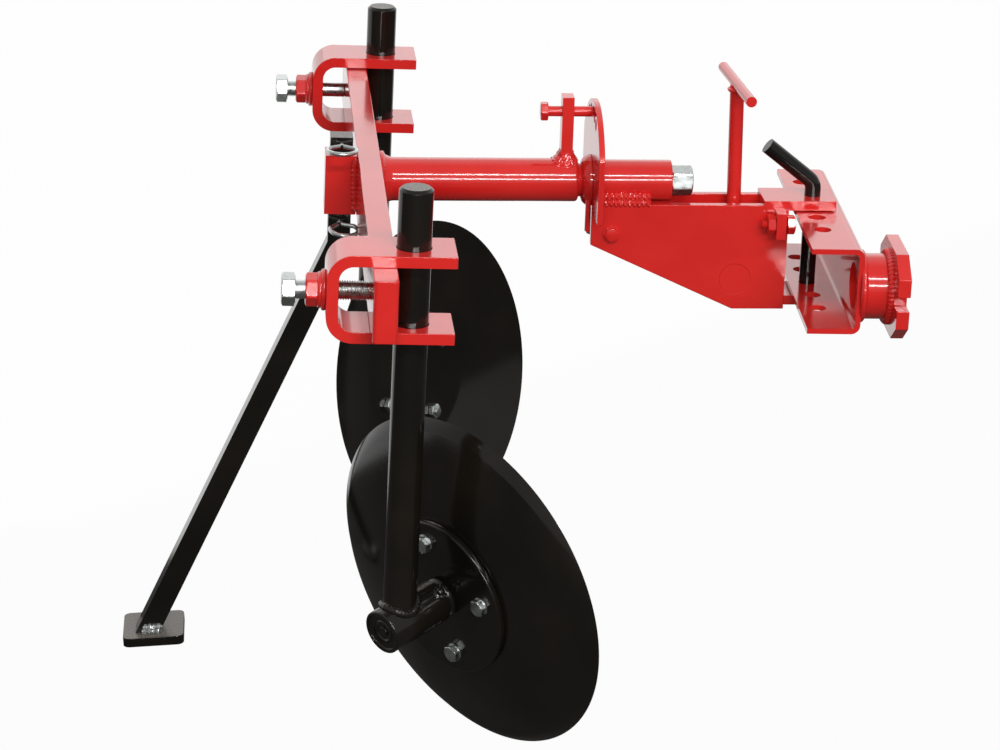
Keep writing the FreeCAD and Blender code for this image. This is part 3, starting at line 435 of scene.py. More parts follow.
def enamel(name, colour, deep, dusty, roughness, specular, gloss, dust_share):
    """Sprayed gloss enamel over rolled and welded steel.

    Gloss paint shows the room as a soft sheen, with orange peel about 3 mm across, a thicker and
    deeper colour where it ran, and fine dust settled on what lies level.
    """
    material, tree = new_material(name)
    where = add(tree, "TexCoord").outputs["Object"]
    clouds = add(tree, "TexNoise", {"Vector": where, "Scale": per_metre(90), "Detail": 3.0})
    specks = add(tree, "TexNoise", {"Vector": where, "Scale": per_metre(2.2), "Detail": 2.0})
    peel = add(tree, "TexNoise", {"Vector": where, "Scale": per_metre(3), "Detail": 1.0})
    rolled = add(tree, "TexNoise", {"Vector": where, "Scale": per_metre(28), "Detail": 2.0})
    blend = add(tree, "MapRange", {"Value": clouds.outputs["Fac"], "From Min": 0.35,
                                   "From Max": 0.7})
    coat = add(tree, "Mix", {"Factor": blend.outputs["Result"], "A": colour, "B": deep},
               data_type="RGBA")
    facing = add(tree, "SeparateXYZ", {"Vector": add(tree, "NewGeometry").outputs["Normal"]})
    upward = add(tree, "MapRange", {"Value": facing.outputs["Z"], "From Min": 0.98,
                                    "From Max": 1.0, "To Max": dust_share})
    speckled = add(tree, "MapRange", {"Value": specks.outputs["Fac"], "From Min": 0.4,
                                      "From Max": 0.75, "To Min": 0.35})
    dust = add(tree, "Math", {0: upward.outputs["Result"], 1: speckled.outputs["Result"]},
               operation="MULTIPLY")
    tinted = add(tree, "Mix", {"Factor": dust.outputs[0], "A": coat.outputs["Result"],
                               "B": dusty}, data_type="RGBA")
    rough = add(tree, "MapRange", {"Value": specks.outputs["Fac"], "From Min": 0.3,
                                   "From Max": 0.8, "To Min": roughness,
                                   "To Max": roughness + 0.1})
    rough = add(tree, "Math", {0: rough.outputs["Result"], 1: dust.outputs[0]}, operation="ADD")
    waves = add(tree, "Bump", {"Strength": 0.03, "Distance": 0.0006,
                               "Height": rolled.outputs["Fac"]})
    bump = add(tree, "Bump", {"Strength": 0.04, "Distance": 0.00015,
                              "Height": peel.outputs["Fac"], "Normal": waves.outputs["Normal"]})
    shader = add(tree, "BsdfPrincipled",
                 {"Base Color": tinted.outputs["Result"], "Roughness": rough.outputs[0],
                  "IOR": 1.5, "Specular IOR Level": specular, "Coat Weight": gloss,
                  "Coat Roughness": 0.04, "Coat IOR": 1.5, "Normal": bump.outputs["Normal"]})
    add(tree, "OutputMaterial", {"Surface": shader.outputs["BSDF"]})
    return material


def zinc_plate(name, colour, shade):
    """Electroplated zinc on forged steel.

    Plating is bright and slightly blue, a little cloudy, and forging leaves a soft unevenness
    about 4 mm across.
    """
    material, tree = new_material(name)
    where = add(tree, "TexCoord").outputs["Object"]
    clouds = add(tree, "TexNoise", {"Vector": where, "Scale": per_metre(6), "Detail": 3.0})
    grain = add(tree, "TexNoise", {"Vector": where, "Scale": per_metre(0.8), "Detail": 1.0})
    tint = add(tree, "Mix", {"Factor": clouds.outputs["Fac"], "A": shade, "B": colour},
               data_type="RGBA")
    rough = add(tree, "MapRange", {"Value": clouds.outputs["Fac"], "From Min": 0.3,
                                   "From Max": 0.7, "To Min": 0.22, "To Max": 0.4})
    dents = add(tree, "Bump", {"Strength": 0.25, "Distance": 0.0005,
                               "Height": clouds.outputs["Fac"]})
    bump = add(tree, "Bump", {"Strength": 0.1, "Distance": 0.0001,
                              "Height": grain.outputs["Fac"], "Normal": dents.outputs["Normal"]})
    shader = add(tree, "BsdfPrincipled",
                 {"Base Color": tint.outputs["Result"], "Metallic": 1.0,
                  "Roughness": rough.outputs["Result"], "Normal": bump.outputs["Normal"]})
    add(tree, "OutputMaterial", {"Surface": shader.outputs["BSDF"]})
    return material


def white_where_seen(tree, most, mirrored):
    """Share of plain white: `most` for camera and glass rays, times a field for mirror rays."""
    seen = add(tree, "LightPath")
    direct = add(tree, "Math", {0: seen.outputs["Is Camera Ray"],
                                1: seen.outputs["Is Transmission Ray"]}, operation="MAXIMUM")
    glossy = add(tree, "Math", {0: seen.outputs["Is Glossy Ray"], 1: mirrored},
                 operation="MULTIPLY")
    rays = add(tree, "Math", {0: direct.outputs[0], 1: glossy.outputs[0]}, operation="MAXIMUM")
    return add(tree, "Math", {0: rays.outputs[0], 1: most}, operation="MULTIPLY").outputs[0]


# ---------------------------------------------------------------- settings

class RIDGER_PG_colours(bpy.types.PropertyGroup):
    """Colours of the finishes."""

    red: bpy.props.FloatVectorProperty(
        name="Red enamel", description="Colour of the frame's paint", subtype="COLOR", size=4,
        default=linear("#DC2A25"), min=0, max=1)
    red_deep: bpy.props.FloatVectorProperty(
        name="Red enamel, thick", description="Colour where the paint lies thick",
        subtype="COLOR", size=4, default=linear("#CE211F"), min=0, max=1)
    black: bpy.props.FloatVectorProperty(
        name="Black enamel", description="Colour of discs, hubs, shanks and stand",
        subtype="COLOR", size=4, default=linear("#100F0C"), min=0, max=1)
    black_thin: bpy.props.FloatVectorProperty(
        name="Black enamel, thin", description="Browner colour where the paint lies thin",
        subtype="COLOR", size=4, default=linear("#1B1712"), min=0, max=1)
    dust: bpy.props.FloatVectorProperty(
        name="Dust", description="Colour of settled dust", subtype="COLOR", size=4,
        default=linear("#B9ADA0"), min=0, max=1)
    zinc: bpy.props.FloatVectorProperty(
        name="Zinc plate", description="Colour of screws and rings", subtype="COLOR", size=4,
        default=linear("#DCE1E2"), min=0, max=1)
    zinc_dull: bpy.props.FloatVectorProperty(
        name="Zinc plate, dull", description="Colour of the plating's clouds",
        subtype="COLOR", size=4, default=linear("#A9ADA6"), min=0, max=1)


class RIDGER_PG_fasteners(bpy.types.PropertyGroup):
    """Sizes of screws, nuts and pins, in millimetres."""

    screw_dia: bpy.props.FloatProperty(
        name="Clamp screw", description="Diameter of the clamp screws, mm", default=20, min=8)
    screw_pitch: bpy.props.FloatProperty(
        name="Clamp screw pitch", description="Rise of the thread in one turn, mm",
        default=2.5, min=1)
    screw_flats: bpy.props.FloatProperty(
        name="Clamp screw head", description="Width across flats, mm", default=30, min=12)
    disc_bolt_flats: bpy.props.FloatProperty(
        name="Disc bolt head", description="Width across flats, mm", default=17, min=8)
    disc_bolt_circle: bpy.props.FloatProperty(
        name="Disc bolt circle", description="Radius of the circle of disc bolts, mm",
        default=63.9, min=30)


class RIDGER_PG_welds(bpy.types.PropertyGroup):
    """Look of the weld beads, in millimetres."""

    small: bpy.props.FloatProperty(
        name="Small bead", description="Radius of the hitch head's weld beads, mm",
        default=2.2, min=1)
    seam: bpy.props.FloatProperty(
        name="Seam", description="Radius of the weld beads round a tube's end, mm",
        default=3.4, min=1)
    ripple: bpy.props.FloatProperty(
        name="Ripple", description="Distance from one crescent to the next, mm",
        default=3.4, min=1)


class RIDGER_PG_edges(bpy.types.PropertyGroup):
    """How far sharp steel edges are broken."""

    plate: bpy.props.FloatProperty(
        name="Plate edge", description="Width of the broken edge of cut plates, mm",
        default=0.7, min=0.1)
    bar: bpy.props.FloatProperty(
        name="Bar edge", description="Width of the broken edge of rolled bars, mm",
        default=1.2, min=0.1)


# ---------------------------------------------------------------- operators

class RIDGER_OT_finishes(bpy.types.Operator):
    """Make the paint and plating, and put them on every CAD node"""

    bl_idname = "ridger.finishes"
    bl_label = "Finishes"

    def execute(self, context):
        tints = context.scene.ridger_colours
        made = {
            "red_paint": enamel(FINISHES["red_paint"], tints.red, tints.red_deep, tints.dust,
                                roughness=0.1, specular=0.5, gloss=0.3, dust_share=0.03),
            "black_paint": enamel(FINISHES["black_paint"], tints.black, tints.black_thin,
                                  tints.dust, roughness=0.1, specular=0.42, gloss=0.0,
                                  dust_share=0.42),
            "zinc": zinc_plate(FINISHES["zinc"], tints.zinc, tints.zinc_dull),
        }
        for part in frame["record"]["subparts"]:
            mesh = NODES[part["node"]].data
            mesh.materials.clear()
            mesh.materials.append(made[part["material_slot"]])
        return {"FINISHED"}


class RIDGER_OT_plates_and_bars(bpy.types.Operator):
    """Break the sharp edges of the cut plates, rolled bars, tubes and bent pieces"""

    bl_idname = "ridger.plates_and_bars"
    bl_label = "Plates and bars"

    def execute(self, context):
        edges = context.scene.ridger_edges
        for node in ("boom_arm", "quadrant_plate", "right_side_plate", "left_side_plate",
                     "upper_hitch_plate", "lower_hitch_plate", "right_stop_lug",
                     "left_stop_lug", "coupling_flange", "stand_sleeve"):
            soften(node, "red_paint", edges.plate)
        for node in ("crossbar", "channel", "right_clamp", "left_clamp"):
            soften(node, "red_paint", edges.bar)
        soften("trunnion", "red_paint", 0.4)
        soften("stand_bar", "black_paint", edges.bar)
        soften("stand_foot", "black_paint", edges.plate)
        for name, _ in SIDES:
            soften(f"{name}_shank", "black_paint", edges.plate)
        return {"FINISHED"}


class RIDGER_OT_clamp_screws(bpy.types.Operator):
    """Clamp screws with turned threads, their weld nuts and the welds round those"""

    bl_idname = "ridger.clamp_screws"
    bl_label = "Clamp screws"

    def execute(self, context):
        sizes = context.scene.ridger_fasteners
        flats, dia = sizes.screw_flats, sizes.screw_dia
        # Along the axis: the nut, the head, the bare screw between them and the nut's weld.
        nut, head, show, weld = 13, 14, 10, 7
        walls, level, corner = {"right": -57, "left": -52}, -2, math.radians(10)
        for name, side in SIDES:
            wall = walls[name]
            axis = at(ROW, 0, side * GANG_Y, level, "X")
            nut_low = wall - weld - nut
            head_low = nut_low - show - head
            screw = [
                hexagon(flats, head_low, head_low + head - 1, axis, corner, (True, False)),
                round_bar(0.95 * flats, head_low + head - 1.2, head_low + head, axis, 0.3),
                round_bar(dia - 1.2, head_low + head - 1, nut_low + 2, axis, 0.2, 48),
            ]
            # The right screw is threaded to its end, the left one is smooth inside its clamp.
            if side < 0:
                screw.append(thread(dia, sizes.screw_pitch, nut_low, -BAR_THICK / 2, axis))
            else:
                screw += [thread(dia, sizes.screw_pitch, nut_low, wall + 8, axis),
                          round_bar(dia - 3, wall, -BAR_THICK / 2, axis, 1.5, 48)]
            build(f"{name}_clamp_screw_turned", screw, "zinc", f"{name}_carrier",
                  f"{name}_clamp_screw")
            foot = [(7, wall - weld - 1), (14, wall - weld - 1), (16, wall - 5),
                    (20, wall), (20, wall + 1), (7, wall + 1)]
            welded = [
                hexagon(flats, nut_low, wall - weld, axis, corner),
                lathe(eased(foot, 1.5), axis),
                ring_bead(15.6, 2.6, at(axis, 0, 0, wall - 5.6), lift=-1),
                ring_bead(18.2, 2.6, at(axis, 0, 0, wall - 1.8), lift=-1),
            ]
            build(f"{name}_clamp_nut_welded", welded, "red_paint", f"{name}_carrier",
                  f"{name}_clamp_nut")
        return {"FINISHED"}


def dish(inner, low, outer, high, count=28):
    """Arc (r, h) between two points of a dish, part of a sphere centred on the axis.

    The sphere's centre is at h = (r2^2 + h2^2 - r1^2 - h1^2) / (2 (h2 - h1)).
    """
    centre = (outer ** 2 + high ** 2 - inner ** 2 - low ** 2) / (2 * (high - low))
    radius = math.hypot(inner, low - centre)
    r = np.linspace(inner, outer, count)
    return np.stack([r, centre - np.sqrt(radius ** 2 - r ** 2)], axis=1)


class RIDGER_OT_discs(bpy.types.Operator):
    """Dished discs, the hub flanges they sit on and the bolts that hold them"""

    bl_idname = "ridger.discs"
    bl_label = "Discs and flanges"

    def execute(self, context):
        sizes = context.scene.ridger_fasteners
        flats, circle_radius = sizes.disc_bolt_flats, sizes.disc_bolt_circle
        first_bolt = {"right": 168.06, "left": 205.37}  # degrees about the hub from upright
        low, high = DISC_AT, DISC_AT + DISC_THICK
        edge, bevel = high + DISC_DEPTH, 10
        outside = dish(DISC_FLAT, low, DISC_RADIUS - bevel, low + 0.87 * DISC_DEPTH)
        inside = dish(DISC_FLAT, high, DISC_RADIUS - 0.3, edge - 0.2)[::-1]
        profile = np.vstack([[(3, low), (84, low), (87.5, low + 0.15)], outside[1:],
                             [(DISC_RADIUS - 0.6, edge - 0.8), (DISC_RADIUS - 0.3, edge - 0.4)],
                             inside[1:-1], [(87.5, high + 0.2), (84, high), (3, high)]])
        broken = FLANGE_RADIUS - 1.2
        flange = [(6, -20), (12.5, -20), (12.5, 52.5), (18, 53), (19, 54), (19, FLANGE_AT - 3),
                  (21.5, FLANGE_AT), (broken, FLANGE_AT), (FLANGE_RADIUS, FLANGE_AT + 1.2),
                  (FLANGE_RADIUS, low - 1.2), (broken, low), (6, low)]
        for name, _ in SIDES:
            hub, wheel = HUB[name], f"{name}_wheel"
            build(f"{name}_disc_pressed", [lathe(profile, hub, 180)], "black_paint", wheel,
                  f"{name}_disc", sharp=25)
            build(f"{name}_flange_turned", [lathe(eased(flange, 0.8, 3), hub, 120)],
                  "black_paint", wheel, f"{name}_hub_axle")
            bolts = []
            for turn in range(4):
                angle = math.radians(first_bolt[name] + 90 * turn)
                x, y = circle_radius * math.cos(angle), circle_radius * math.sin(angle)
                head, nut = at(hub, x, y, FLANGE_AT, "-Z"), at(hub, x, y, high)
                bolts += [
                    round_bar(flats + 2.5, 0, 1.5, head, 0.4, 48),
                    hexagon(flats, 1.4, 8, head, phase=turn + 0.4, cones=(False, True),
                            dome=0.6, turns=72),
                    hexagon(flats, 0, 7, nut, phase=2 * turn + 0.2, turns=72),
                    thread(10, 1.5, 4, 10, nut, 32),
                    round_bar(9.6, -14, 5, nut, 0.3, 32),
                ]
            build(f"{name}_disc_bolts", bolts, "zinc", wheel)
        return {"FINISHED"}


class RIDGER_OT_hubs(bpy.types.Operator):
    """Hub housings with their end caps, grease nipples and the welds under the shanks"""

    bl_idname = "ridger.hubs"
    bl_label = "Hubs"

    def execute(self, context):
        cap, bore, chamfer = HUB_REAR + 3.5, 12.8, 1.2
        housing = [(4, cap), (9, cap), (10, cap - 1.4), (12, cap - 1.4), (13, cap), (17, cap),
                   (19.2, cap - 0.8), (20.2, cap - 1.5), (20.2, HUB_REAR),
                   (HUB_RADIUS - chamfer, HUB_REAR), (HUB_RADIUS, HUB_REAR + 1.4),
                   (HUB_RADIUS, HUB_FRONT - 1.4), (HUB_RADIUS - chamfer, HUB_FRONT),
                   (bore, HUB_FRONT), (bore, HUB_FRONT - 7), (4, HUB_FRONT - 7)]
        boss = [(2, cap - 1.5), (5, cap - 1.5), (5.6, cap - 0.9), (5.6, cap + 0.5),
                (2, cap + 0.5)]
        grease = [(3, -2), (6, -2), (6, 2.2), (3.4, 2.8), (3.2, 4), (4.2, 5.4), (3.8, 7.2),
                  (1.6, 8.4)]
        for name, side in SIDES:
            hub, leg, turn = HUB[name], f"{name}_leg", -0.7 * side
            out = (math.cos(turn), math.sin(turn), 0)
            nipple = at(hub, (HUB_RADIUS - 1) * out[0], (HUB_RADIUS - 1) * out[1], 45.5)
            nipple[:3, :3] = basis((0, 0, 0), hub[:3, 2], hub[:3, :3] @ out)[:3, :3]
            build(f"{name}_hub_housing_turned",
                  [lathe(eased(housing, 0.7, 3), hub, 96), lathe(eased(boss, 0.5), hub, 36),
                   hexagon(13, -1, 2.4, nipple, turns=48), lathe(eased(grease, 0.6), nipple, 32)],
                  "black_paint", leg, f"{name}_hub_housing")
            build(f"{name}_hub_weld", [self.foot_weld(name)], "black_paint", leg)
        return {"FINISHED"}

    @staticmethod
    def foot_weld(name):
        """Bead where the round shank meets the round housing.

        A point (a, b) of the shank's circle meets the housing at the upper root z of
        a^2 + b^2 + z^2 - (a n1 + b n2 + z n3)^2 = R^2, with n the housing's axis.
        """
        foot = basis(joint_point(f"{name}_disc_spin"), (1, 0, 0), UP)
        n = foot[:3, :3].T @ HUB[name][:3, 2]
        t = np.linspace(0, 2 * np.pi, 120, endpoint=False)
        a, b = SHANK_DIA / 2 * np.cos(t), SHANK_DIA / 2 * np.sin(t)
        flat = a * n[0] + b * n[1]
        square, linear_term = 1 - n[2] ** 2, -2 * n[2] * flat
        rest = a ** 2 + b ** 2 - flat ** 2 - HUB_RADIUS ** 2
        root = np.sqrt(np.maximum(linear_term ** 2 - 4 * square * rest, 0))
        z = (root - linear_term) / (2 * square)
        path = np.stack([a, b, z], axis=1)
        shank_way = np.stack([np.cos(t), np.sin(t), 0 * t], axis=1)
        hub_way = unit(path - (path @ n)[:, None] * n)
        ways = unit(shank_way + hub_way)
        return bead(put_in(path + 0.6 * ways, foot), ways @ foot[:3, :3].T, 4.2, closed=True,
                    ripple=4)


class RIDGER_OT_boom(bpy.types.Operator):
    """Boom tube with its flared weld, spindle, spindle nut, sleeve and lock bolt"""

    bl_idname = "ridger.boom"
    bl_label = "Boom"

    def execute(self, context):
        seam = context.scene.ridger_welds.seam
        axis = at(BOOM, 0, 0, 0, "X")
        inner, gap = TUBE_RADIUS - TUBE_WALL, 0.3
        flare = [(inner, 13), (30.5, 13), (29.5, 15.5), (27.5, 19), (25.6, 23), (24.3, 27),
                 (TUBE_RADIUS, 30), (TUBE_RADIUS, TUBE_END - 2.5), (22.8, TUBE_END),
                 (inner, TUBE_END)]
        build("boom_tube_rolled",
              [lathe(eased(flare, 1.2, 4, closed=True), axis, 96, ring=True),
               ring_bead(27.6, seam, at(axis, 0, 0, 15.2), lift=0.8, ripple=4.2)],
              "red_paint", "frame", "boom_tube")
        step, nut = SLEEVE_END - gap, SLEEVE_END + gap
        spindle = [(6, TUBE_END - 30), (inner, TUBE_END - 30), (inner, 235.6), (18, 236.4),
                   (18.8, 237.6), (23.6, 239.2), (26.8, 242), (28.4, 245), (28.9, QUAD_X - 0.1),
                   (SPINDLE_RADIUS, QUAD_X - 0.1), (SPINDLE_RADIUS, step), (10, step),
                   (10, SLEEVE_END + 1), (6, SLEEVE_END + 1)]
        pin = at(BOOM, 245.4, -20, -53.5)
        build("boom_spindle_turned",
              [lathe(eased(spindle, 0.8), axis, 96),
               thread(20, 1.5, SLEEVE_END, SLEEVE_END + 22, axis),
               round_bar(6, 0, 38, pin, 0.8, 32)],
              "red_paint", "frame", "boom_spindle")
        build("spindle_nut_turned",
              [hexagon(30, nut, nut + 24, axis, math.radians(20)),
               round_bar(19, SLEEVE_END + 21, SLEEVE_END + 24, axis, 0.5, 48)],
              "zinc", "frame", "spindle_nut")
        # Two beads a side, slanting to and fro: y, z, outward way's rise, radius and slant.
        rows = ((22.6, -19.4, 0.2, 4, 0.9), (22.2, -12.6, 0.7, 3.8, -0.9))
        seams = [line_bead(BOOM, (258, side * y, z), (316, side * y, z), (0, side, up), r,
                           ripple=5.2, rough=0.48, slant=slant)
                 for side in (-1, 1) for y, z, up, r, slant in rows]
        seams.append(ring_bead(23.4, 2.4, at(axis, 0, 0, QUAD_X + 7.6), lift=0.6))
        bearing = sleeve(46, 2 * (SPINDLE_RADIUS + gap), QUAD_X + 6.5, SLEEVE_END, axis)
        build("bearing_sleeve_turned", [bearing, *seams], "red_paint", "head", "bearing_sleeve")
        bolt = at(BOOM, 0, 0, 79, "X")
        build("lock_bolt_forged",
              [hexagon(19, 190.5, 197.7, bolt, cones=(True, False), turns=72),
               round_bar(20.5, 197.5, 198.6, bolt, 0.3, 48),
               round_bar(11.6, 196, QUAD_X - 0.6, bolt, 1.2, 48)],
              "red_paint", "frame", "lock_bolt")
        build("boom_arm_weld", [self.arm_weld()], "red_paint", "frame")
        return {"FINISHED"}

    @staticmethod
    def arm_weld():
        """Heaped weld round the arm's foot, from its faces out onto the tube.

        Round the foot runs a superellipse (x / a)^4 + (y / b)^4 = 1. Each step of the profile
        stands o outwards from it and h above the tube, whose height is sqrt(R^2 - y^2), and
        lumps of 1.1 sin(6 t) sin(9 t + 2 o) mm swell the heap between its two edges.
        """
        a, b, middle = 6.9, 10.4, 220.5
        t = np.linspace(0, 2 * np.pi, 144, endpoint=False)[None, :]
        c, s = np.cos(t), np.sin(t)
        x, y = a * np.sign(c) * np.sqrt(np.abs(c)), b * np.sign(s) * np.sqrt(np.abs(s))
        way = unit(np.stack([x ** 3 / a ** 4, y ** 3 / b ** 4], axis=-1))
        o, h = eased([(-3, 8), (-1, 12), (0.6, 11), (2.6, 5.5), (6.6, 1.6), (9.4, 0.2), (7, -3),
                      (-3, -3)], 1.2, 5, closed=True).T[:, :, None]
        lump = 1.1 * np.sin(6 * t) * np.sin(9 * t + 2 * o) * np.clip((h + 1) * (o + 1) / 6, 0, 1)
        x = middle + x + way[..., 0] * (o * np.where(c > 0, 0.68, 1) + lump)
        y = y + way[..., 1] * (0.62 * o + lump)
        z = np.sqrt(TUBE_RADIUS ** 2 - y ** 2) + h + 0.5 * lump
        return shell(put_in(np.stack([x, y, z], axis=-1), BOOM), ring=True)


class RIDGER_OT_head_bolts(bpy.types.Operator):
    """Cross bolt and stop bolts of the hitch head"""

    bl_idname = "ridger.head_bolts"
    bl_label = "Hitch head bolts"

    def execute(self, context):
        cross = at(BOOM, 272, 0, -55, "Y")
        build("cross_bolt_forged",
              [round_bar(20, -27.8, -SIDE_OUT, cross, 0.5, 48),
               hexagon(14.5, -32, -27.5, cross, phase=0.3, cones=(True, False)),
               round_bar(10, -28, 35, cross, 0.8, 48),
               hexagon(16, SIDE_OUT, 32, cross, phase=0.1)],
              "red_paint", "head", "cross_bolt")
        flats, gap = 19.6, 1.9
        for name, side in SIDES:
            y = side * (SIDE_OUT + 11.5)
            tip = (KING_X - y * math.tan(SWING) - CHAN_BACK / math.cos(SWING)
                   - 10 * abs(math.sin(SWING)) - gap)
            axis = at(BOOM, 0, y, -39.5, "X")
            build(f"{name}_stop_bolt_forged",
                  [hexagon(flats, LUG_X - 9, LUG_X, axis, phase=0.5 + side * 0.2),
                   hexagon(flats, tip - 9, tip - 0.6, axis, cones=(False, True), dome=0.5),
                   thread(10, 1.5, LUG_X - 15, tip - 8, axis, 40)],
                  "red_paint", "head", f"{name}_stop_bolt")
        return {"FINISHED"}


class RIDGER_OT_lynch_pins(bpy.types.Operator):
    """Lynch pins of the parking stand with their sprung rings"""

    bl_idname = "ridger.lynch_pins"
    bl_label = "Lynch pins"

    def execute(self, context):
        post, head, radius, wire = -(BAR_THICK + 35) / 2, -17, 15.5, 2.5
        for name, z, droop, swing in (("upper", 41.5, 1, 0), ("lower", -48, 8, 19)):
            hung = at(ROW, post, head, z)
            turned = Euler((math.radians(droop), 0, math.radians(swing))).to_matrix()
            hung[:3, :3] = hung[:3, :3] @ np.array(turned)
            ring, _ = circle(radius, at(hung, 0, -radius, 0), -205, 25, 96)
            nip = put_in([(0, 0.4, 0)], hung)
            path = along(np.vstack([ring, nip]), 0.8, closed=True)
            middle = put_in((0, -radius, 0), hung)
            pin = at(ROW, post, 0, z, "Y")
            build(f"{name}_lynch_pin_bent",
                  [round_bar(6, head + 1, 22.5, pin, 1.2, 32),
                   tube(path, unit(path - middle), wire, closed=True, sides=16)],
                  "zinc", "frame", f"{name}_lynch_pin")
            # Painted shade: a black stub at the pin's head stands for the shaded gap between the
            # ring's two arms.
            build(f"{name}_lynch_pin_shade_stub", [round_bar(4, head - 3.5, head + 1, pin, 1, 32)],
                  "black_paint", "frame")
        return {"FINISHED"}


class RIDGER_OT_welds(bpy.types.Operator):
    """Weld beads of the head, the coupling, the stand and the foot plate"""

    bl_idname = "ridger.welds"
    bl_label = "Welds"

    def execute(self, context):
        small, seam = context.scene.ridger_welds.small, context.scene.ridger_welds.seam
        ripple = context.scene.ridger_welds.ripple
        head = []
        quad, rear, front = QUAD_X + 7.2, LUG_X - 0.4, LUG_X + LUG_THICK + 0.4
        for side in (-1, 1):
            y = side * (SIDE_OUT + 0.2)
            head += [
                line_bead(BOOM, (quad, y, -27), (quad, y, -22), (1, side, 0), 2.4),
                line_bead(BOOM, (rear, y, -52), (rear, y, -26), (-1, side, 0), small),
                line_bead(BOOM, (front, y, -52), (front, y, -29), (1, side, 0), small),
                line_bead(BOOM, (LUG_X - 9, y, -27.4), (LUG_X + 15, y, -27.4), (0, side, -1),
                          1.8),
            ]
        build("head_welds", head, "red_paint", "head")
        stem, lean = 219, math.radians(1.4)
        tee = at(BOOM, 414 - stem * math.sin(lean), 0, -107.5 + stem * math.cos(lean) - 6)
        build("t_bar_weld", [ring_bead(8.4, small, tee, lift=0.3)], "red_paint", "head")
        web = CHAN_WIDE - CHAN_BACK
        stub = at(HITCH, 0, -130, -79.5, "X")
        build("coupling_welds",
              [ring_bead(36.8, seam, at(stub, 0, 0, web + 1.4), lift=0.7, ripple=ripple),
               ring_bead(37.4, 4.2, at(stub, 0, 0, web + 31), lift=-0.8, ripple=4.6, rough=0.22)],
              "red_paint", "hitch")
        back = -BAR_THICK / 2
        stand = [line_bead(ROW, (back - out, side * (17 + out), low),
                           (back - out, side * (17 + out), high), (-1, side, 0), r,
                           ripple=5, rough=0.3)
                 for side in (-1, 1)
                 for out, low, high, r in ((1, -33, 28, 4), (2.6, -20, 26, 3.2))]
        build("stand_sleeve_welds", stand, "red_paint", "frame")
        # The foot plate lies level, so its weld is placed in the ridger's own frame.
        foot = at(np.eye(4), -411, -12.5, 11)
        heap = [line_bead(foot, (-11 + in_by, -out, up), (12.5 + in_by, -out, up), (0, -1, 0.4), r,
                          ripple=5, rough=0.45)
                for in_by, out, up, r in ((0, 0.8, 1.6, 4.4), (1.4, 0.2, 6, 3.6))]
        build("stand_foot_weld", heap, "zinc", "frame")
        return {"FINISHED"}


